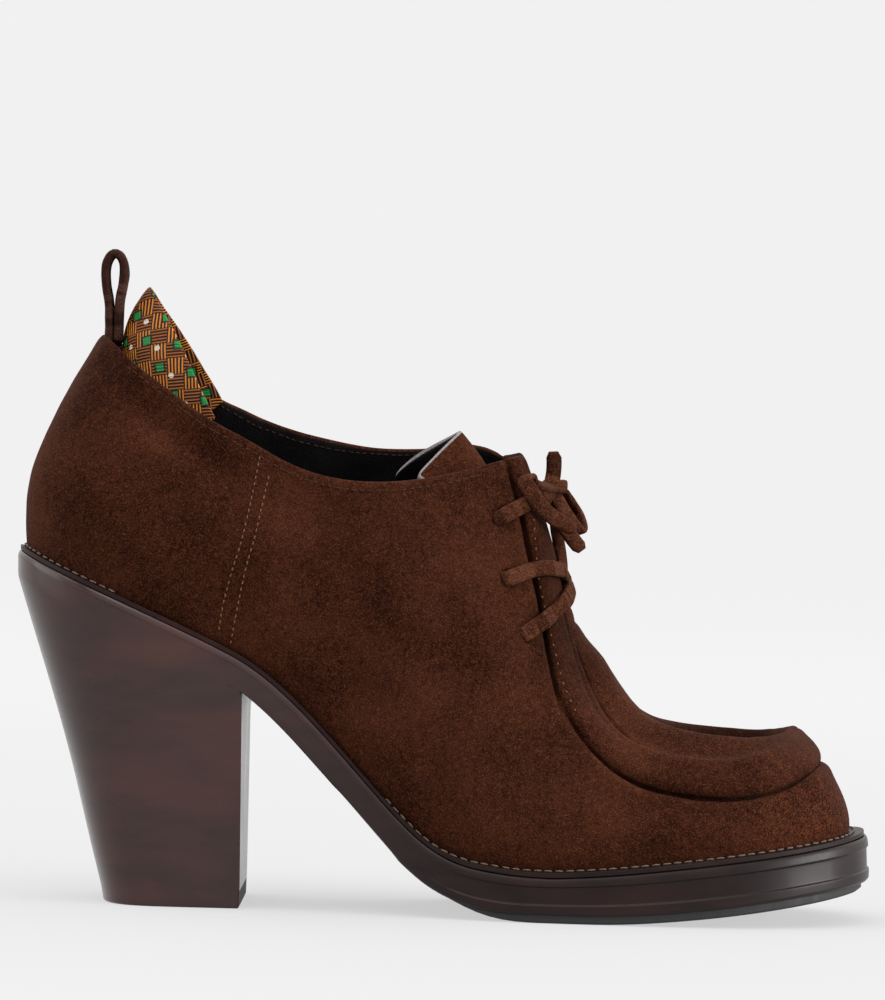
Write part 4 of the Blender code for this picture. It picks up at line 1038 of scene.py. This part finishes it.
# Tongue: flap of suede backed with black leather, cut to a point and left raw at its edge.
# It is sewn in below the throat and arches under the lace.
LEAN = 0.0066
PEAK = 0.0014
SWELL = 0.0036
CUT_EDGE = 1
BACKING = 2
RAW_DARK = (0.1, 0.078, 0.078)
RAW_LIGHT = (0.26, 0.23, 0.235)
tongue_shape = node_copy("tongue", 40.0, 70.0)
for corner in tongue_shape.verts:
    corner.co.x -= LEAN * ease(corner.co.y, 0.0, 0.014) * ease(corner.co.z, 0.104, 0.12)
    corner.co.x += SWELL * between(corner.co.z, 0.081, 0.086, 0.086, 0.1)
    corner.co.z += PEAK * ease(corner.co.z, 0.118, 0.133)
front_seed = face_towards(tongue_shape, spot(190.0, 0.0, 125.0), Vector((-1.0, 0.0, -0.2)))
back_seed = face_towards(tongue_shape, spot(100.0, 0.0, 118.0), Vector((1.0, 0.0, 0.05)))
for face in tongue_shape.faces:
    face.material_index = CUT_EDGE
for face in flood(tongue_shape, front_seed, 55.0):
    face.material_index = 0
for face in flood(tongue_shape, back_seed, 55.0):
    face.material_index = BACKING
raw_faces = [face for face in tongue_shape.faces if face.material_index == CUT_EDGE]
rims = bmesh.ops.inset_region(tongue_shape, faces=raw_faces, thickness=0.0004, use_even_offset=True)["faces"]
for face in rims:
    if any(other.material_index == BACKING for edge in face.edges for other in edge.link_faces):
        face.material_index = BACKING
tongue_coat = suede_coat("tongue_suede", SUEDE_DARK, SUEDE_LIGHT)
raw_coat, tree, shader = new_coat("raw_edge")
place = add_node(tree, "ShaderNodeTexCoord").outputs["Object"]
fuzz = grain(tree, place, 1500.0, 3.0, 0.7)
tree.links.new(blend(tree, spread(tree, fuzz, 0.3, 0.7), RAW_DARK, RAW_LIGHT), shader.inputs["Base Color"])
tree.links.new(spread(tree, fuzz, 0.3, 0.7, 0.75, 0.95), shader.inputs["Roughness"])
raise_bump(tree, fuzz, 0.5, 0.0003, shader)
tongue = add_piece("tongue", tongue_shape, [tongue_coat, raw_coat, sock_coat])
round_off(tongue, 2)
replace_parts(tongue, "tongue")


# Heel tab: a piece of woven silk, such as a tie is cut from, folded double and sewn inside the heel collar.
# It stands above the collar in a soft peak, with a ribbed gold ground and small woven figures.
# Each row gives a point of its foot and the point of its edge above.
TAB = (
    (29.6, 0.0, 151.0, 35.6, 0.0, 175.0),
    (29.5, 2.4, 150.8, 36.1, 1.7, 174.5),
    (29.5, 4.5, 150.5, 37.3, 3.5, 172.6),
    (29.6, 6.5, 150.0, 38.8, 5.4, 170.0),
    (33.0, 13.0, 147.0, 43.4, 11.4, 162.6),
    (38.6, 17.0, 143.0, 48.2, 16.2, 153.5),
    (46.0, 20.0, 137.5, 52.6, 20.0, 144.5),
    (53.0, 22.0, 133.0, 56.6, 22.2, 137.4),
)
TAB_ACROSS = 48
TAB_ROWS = 25
TAB_UP = 10
TAB_BULGE = 3.4
TAB_HALF_FLAT = 42.0
SILK_BLOCK = 4.6
SILK_PITCH = 8.2
SILK_GOLD = (0.52, 0.165, 0.014)
SILK_BRONZE = (0.26, 0.07, 0.006)
SILK_FURROW = (0.005, 0.0014, 0.0005)
FIGURE_RIM = (0.02, 0.007, 0.003)
FIGURE_GREEN = (0.008, 0.17, 0.035)
FIGURE_PALE = (0.5, 0.44, 0.38)
tab_shape = bmesh.new()
bmesh.ops.create_grid(tab_shape, x_segments=TAB_ACROSS, y_segments=TAB_UP, size=1.0)
silk_map = tab_shape.loops.layers.uv.new("silk")
tab_rows = np.array(TAB)
tab_feet = smooth_line(tab_rows[:, :3], TAB_ROWS)
tab_edges = smooth_line(tab_rows[:, 3:], TAB_ROWS)
flat_spots = {}
for corner in tab_shape.verts:
    across, up = corner.co.x, 0.5 * (corner.co.y + 1.0)
    side = -1 if across < 0.0 else 1
    number = abs(across) * (TAB_ROWS - 1)
    low = np.array([np.interp(number, range(TAB_ROWS), tab_feet[:, axis]) for axis in range(3)])
    high = np.array([np.interp(number, range(TAB_ROWS), tab_edges[:, axis]) for axis in range(3)])
    rise = (collar(side, low[0] + 2.0) - collar(-1, low[0] + 2.0)) * min(abs(across) * 1.2, 1.0)
    low[2] += rise
    high[2] += rise * 0.8
    here = low + (high - low) * up
    here[0] -= TAB_BULGE * (1.0 - abs(across)) ** 2 * 4.0 * up * (1.0 - up)
    corner.co = spot(here[0], side * here[1], here[2])
    flat_spots[corner] = (across * TAB_HALF_FLAT, np.linalg.norm(high - low) * up)
for face in tab_shape.faces:
    for loop in face.loops:
        loop[silk_map].uv = flat_spots[loop.vert]
bmesh.ops.recalc_face_normals(tab_shape, faces=tab_shape.faces)
silk_coat, tree, shader = new_coat("silk")
flat_place = add_node(tree, "ShaderNodeUVMap", uv_map="silk").outputs["UV"]
askew = add_node(tree, "ShaderNodeMapping", {"Rotation": (0.0, 0.0, 0.7)})
tree.links.new(flat_place, askew.inputs["Vector"])
blocks = add_node(tree, "ShaderNodeTexChecker", {"Scale": 1.0 / SILK_BLOCK})
tree.links.new(askew.outputs["Vector"], blocks.inputs["Vector"])
rib_ways = []
for way in ("X", "Y"):
    rib = add_node(
        tree, "ShaderNodeTexWave", {"Scale": 0.34, "Distortion": 0.5, "Detail": 1.0}, bands_direction=way)
    tree.links.new(askew.outputs["Vector"], rib.inputs["Vector"])
    rib_ways.append(rib.outputs["Fac"])
ribs = add_node(tree, "ShaderNodeMix", data_type="FLOAT")
tree.links.new(blocks.outputs["Fac"], ribs.inputs["Factor"])
tree.links.new(rib_ways[0], ribs.inputs["A"])
tree.links.new(rib_ways[1], ribs.inputs["B"])
ribs = ribs.outputs["Result"]
parts = add_node(tree, "ShaderNodeSeparateXYZ")
tree.links.new(flat_place, parts.inputs["Vector"])


def figure_gap(shift, pitch):
    column = reckon(tree, "DIVIDE", reckon(tree, "ADD", parts.outputs["X"], shift), pitch)
    drop = reckon(tree, "MULTIPLY", reckon(tree, "FLOOR", column, 0.0), 0.5)
    row = reckon(tree, "ADD", reckon(tree, "DIVIDE", parts.outputs["Y"], pitch), drop)
    gaps = []
    for value in (column, row):
        middle = reckon(tree, "SUBTRACT", reckon(tree, "FRACT", value, 0.0), 0.5)
        gaps.append(reckon(tree, "MULTIPLY", reckon(tree, "ABSOLUTE", middle, 0.0), pitch))
    return gaps


lozenge = reckon(tree, "ADD", *figure_gap(0.0, SILK_PITCH))
squares = [reckon(tree, "POWER", gap, 2.0) for gap in figure_gap(0.5 * SILK_PITCH, SILK_PITCH)]
dot = reckon(tree, "ADD", *squares)
lustre = blend(tree, blocks.outputs["Fac"], SILK_GOLD, SILK_BRONZE)
silk = blend(tree, spread(tree, ribs, 0.42, 0.85), SILK_FURROW, lustre)
for gap, reach, colour in ((lozenge, 2.3, FIGURE_RIM), (lozenge, 1.55, FIGURE_GREEN), (dot, 0.6, FIGURE_PALE)):
    silk = blend(tree, reckon(tree, "LESS_THAN", gap, reach), silk, colour)
tree.links.new(silk, shader.inputs["Base Color"])
set_inputs(shader, {"Roughness": 0.5, "Specular IOR Level": 0.15})
raise_bump(tree, ribs, 0.5, 0.0004, shader)
tab = add_piece("heel_tab", tab_shape, [silk_coat])
thick = tab.modifiers.new("double", "SOLIDIFY")
thick.thickness = 0.0008
thick.offset = 0.0
round_off(tab, 1)
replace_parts(tab, "heel_tab")


# Pull loop: strip of darker suede folded double into a loop.
# Its two ends are sewn in together at the back of the collar, inside the suede.
LOOP_WIDE = 0.009
LOOP_DEEP = 0.0026
LOOP_DARK = (0.022, 0.0085, 0.006)
LOOP_LIGHT = (0.075, 0.033, 0.024)
LOOP_ROUTE = (
    (24.6, 0.0, 157.6, -1.0, 0.0, 0.0),
    (24.5, 0.0, 165.0, -1.0, 0.0, 0.0),
    (24.1, 0.0, 170.5, -1.0, 0.0, -0.15),
    (23.2, 0.0, 175.5, -1.0, 0.0, -0.1),
    (22.95, 0.0, 179.0, -1.0, 0.0, 0.1),
    (23.5, 0.0, 181.8, -0.85, 0.0, 0.5),
    (24.6, 0.0, 183.5, -0.4, 0.0, 0.9),
    (25.6, 0.0, 183.9, 0.0, 0.0, 1.0),
    (26.6, 0.0, 183.5, 0.4, 0.0, 0.9),
    (27.8, 0.0, 181.8, 0.85, 0.0, 0.5),
    (28.3, 0.0, 179.0, 1.0, 0.0, 0.1),
    (28.1, 0.0, 175.5, 1.0, 0.0, -0.1),
    (27.3, 0.0, 170.5, 1.0, 0.0, -0.15),
    (27.1, 0.0, 165.0, 1.0, 0.0, 0.0),
    (27.1, 0.0, 157.6, 1.0, 0.0, 0.0),
)
loop_shape = bmesh.new()
sweep_strap(loop_shape, strap_frames(LOOP_ROUTE, LOOP_WIDE, LOOP_DEEP)[1])
loop_coat = suede_coat("loop_suede", LOOP_DARK, LOOP_LIGHT, 0.5)
loop = add_piece("pull_loop", loop_shape, [loop_coat])
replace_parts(loop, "pull_loop")


# Studio: pale seamless paper on the floor of a white room, evened out in the distance.
# A soft box hangs overhead, and two large ones stand far off, beyond the toe and behind the heel.
FLOOR_WIDE = 12.0
PAPER_GREY = (0.16, 0.16, 0.16, 1.0)
PAPER_NEAR = (0.81, 0.81, 0.81)
PAPER_FAR = (0.945, 0.945, 0.945)
PAPER_BOUNCE = (0.27, 0.27, 0.27)
LAMPS = (
    ("soft_box", (-0.2, -0.4, 1.4), (0.0, 0.0, 0.08), 1.2, 8.0),
    ("toe_box", (3.2, -1.0, 0.4), (0.1, 0.0, 0.05), 2.0, 160.0),
    ("heel_box", (-2.75, -0.4, 0.95), (-0.1, 0.0, 0.06), 2.0, 28.0),
)
floor_shape = bmesh.new()
bmesh.ops.create_circle(floor_shape, cap_ends=True, segments=64, radius=FLOOR_WIDE)
floor_mesh = bpy.data.meshes.new("floor")
floor_shape.to_mesh(floor_mesh)
floor_shape.free()
floor = bpy.data.objects.new("floor", floor_mesh)
bpy.context.scene.collection.objects.link(floor)
floor_coat, tree, shader = new_coat("floor_paper")
scattered = add_node(tree, "ShaderNodeLightPath").outputs["Is Diffuse Ray"]
reach = add_node(tree, "ShaderNodeVectorMath", operation="LENGTH")
tree.links.new(add_node(tree, "ShaderNodeTexCoord").outputs["Object"], reach.inputs[0])
evened = blend(tree, spread(tree, reach.outputs["Value"], 0.2, 1.6), PAPER_NEAR, PAPER_FAR)
tree.links.new(blend(tree, scattered, evened, PAPER_BOUNCE), shader.inputs["Emission Color"])
set_inputs(shader, {
    "Base Color": PAPER_GREY, "Roughness": 1.0, "Specular IOR Level": 0.0, "Emission Strength": 0.68})
floor_mesh.materials.append(floor_coat)
room = bpy.data.worlds.new("white_room")
room.use_nodes = True
tree = room.node_tree
ways = add_node(tree, "ShaderNodeSeparateXYZ")
tree.links.new(add_node(tree, "ShaderNodeTexCoord").outputs["Generated"], ways.inputs["Vector"])
behind = spread(tree, ways.outputs["Y"], -0.9, 0.5, 0.0, 0.55)
overhead = spread(tree, ways.outputs["Z"], -0.05, 0.9, 0.0, 1.35)
glow = reckon(tree, "ADD", reckon(tree, "ADD", behind, overhead), 0.12)
lit = add_node(tree, "ShaderNodeMix", {"B": 0.88}, data_type="FLOAT")
tree.links.new(add_node(tree, "ShaderNodeLightPath").outputs["Is Camera Ray"], lit.inputs["Factor"])
tree.links.new(glow, lit.inputs["A"])
tree.links.new(lit.outputs["Result"], tree.nodes["Background"].inputs["Color"])
bpy.context.scene.world = room
for name, place, target, size, power in LAMPS:
    lamp_data = bpy.data.lights.new(name, "AREA")
    lamp_data.size = size
    lamp_data.energy = power
    lamp = bpy.data.objects.new(name, lamp_data)
    lamp.location = place
    lamp.rotation_euler = (Vector(target) - Vector(place)).to_track_quat("-Z", "Y").to_euler()
    bpy.context.scene.collection.objects.link(lamp)
bpy.context.scene.view_settings.view_transform = "Standard"
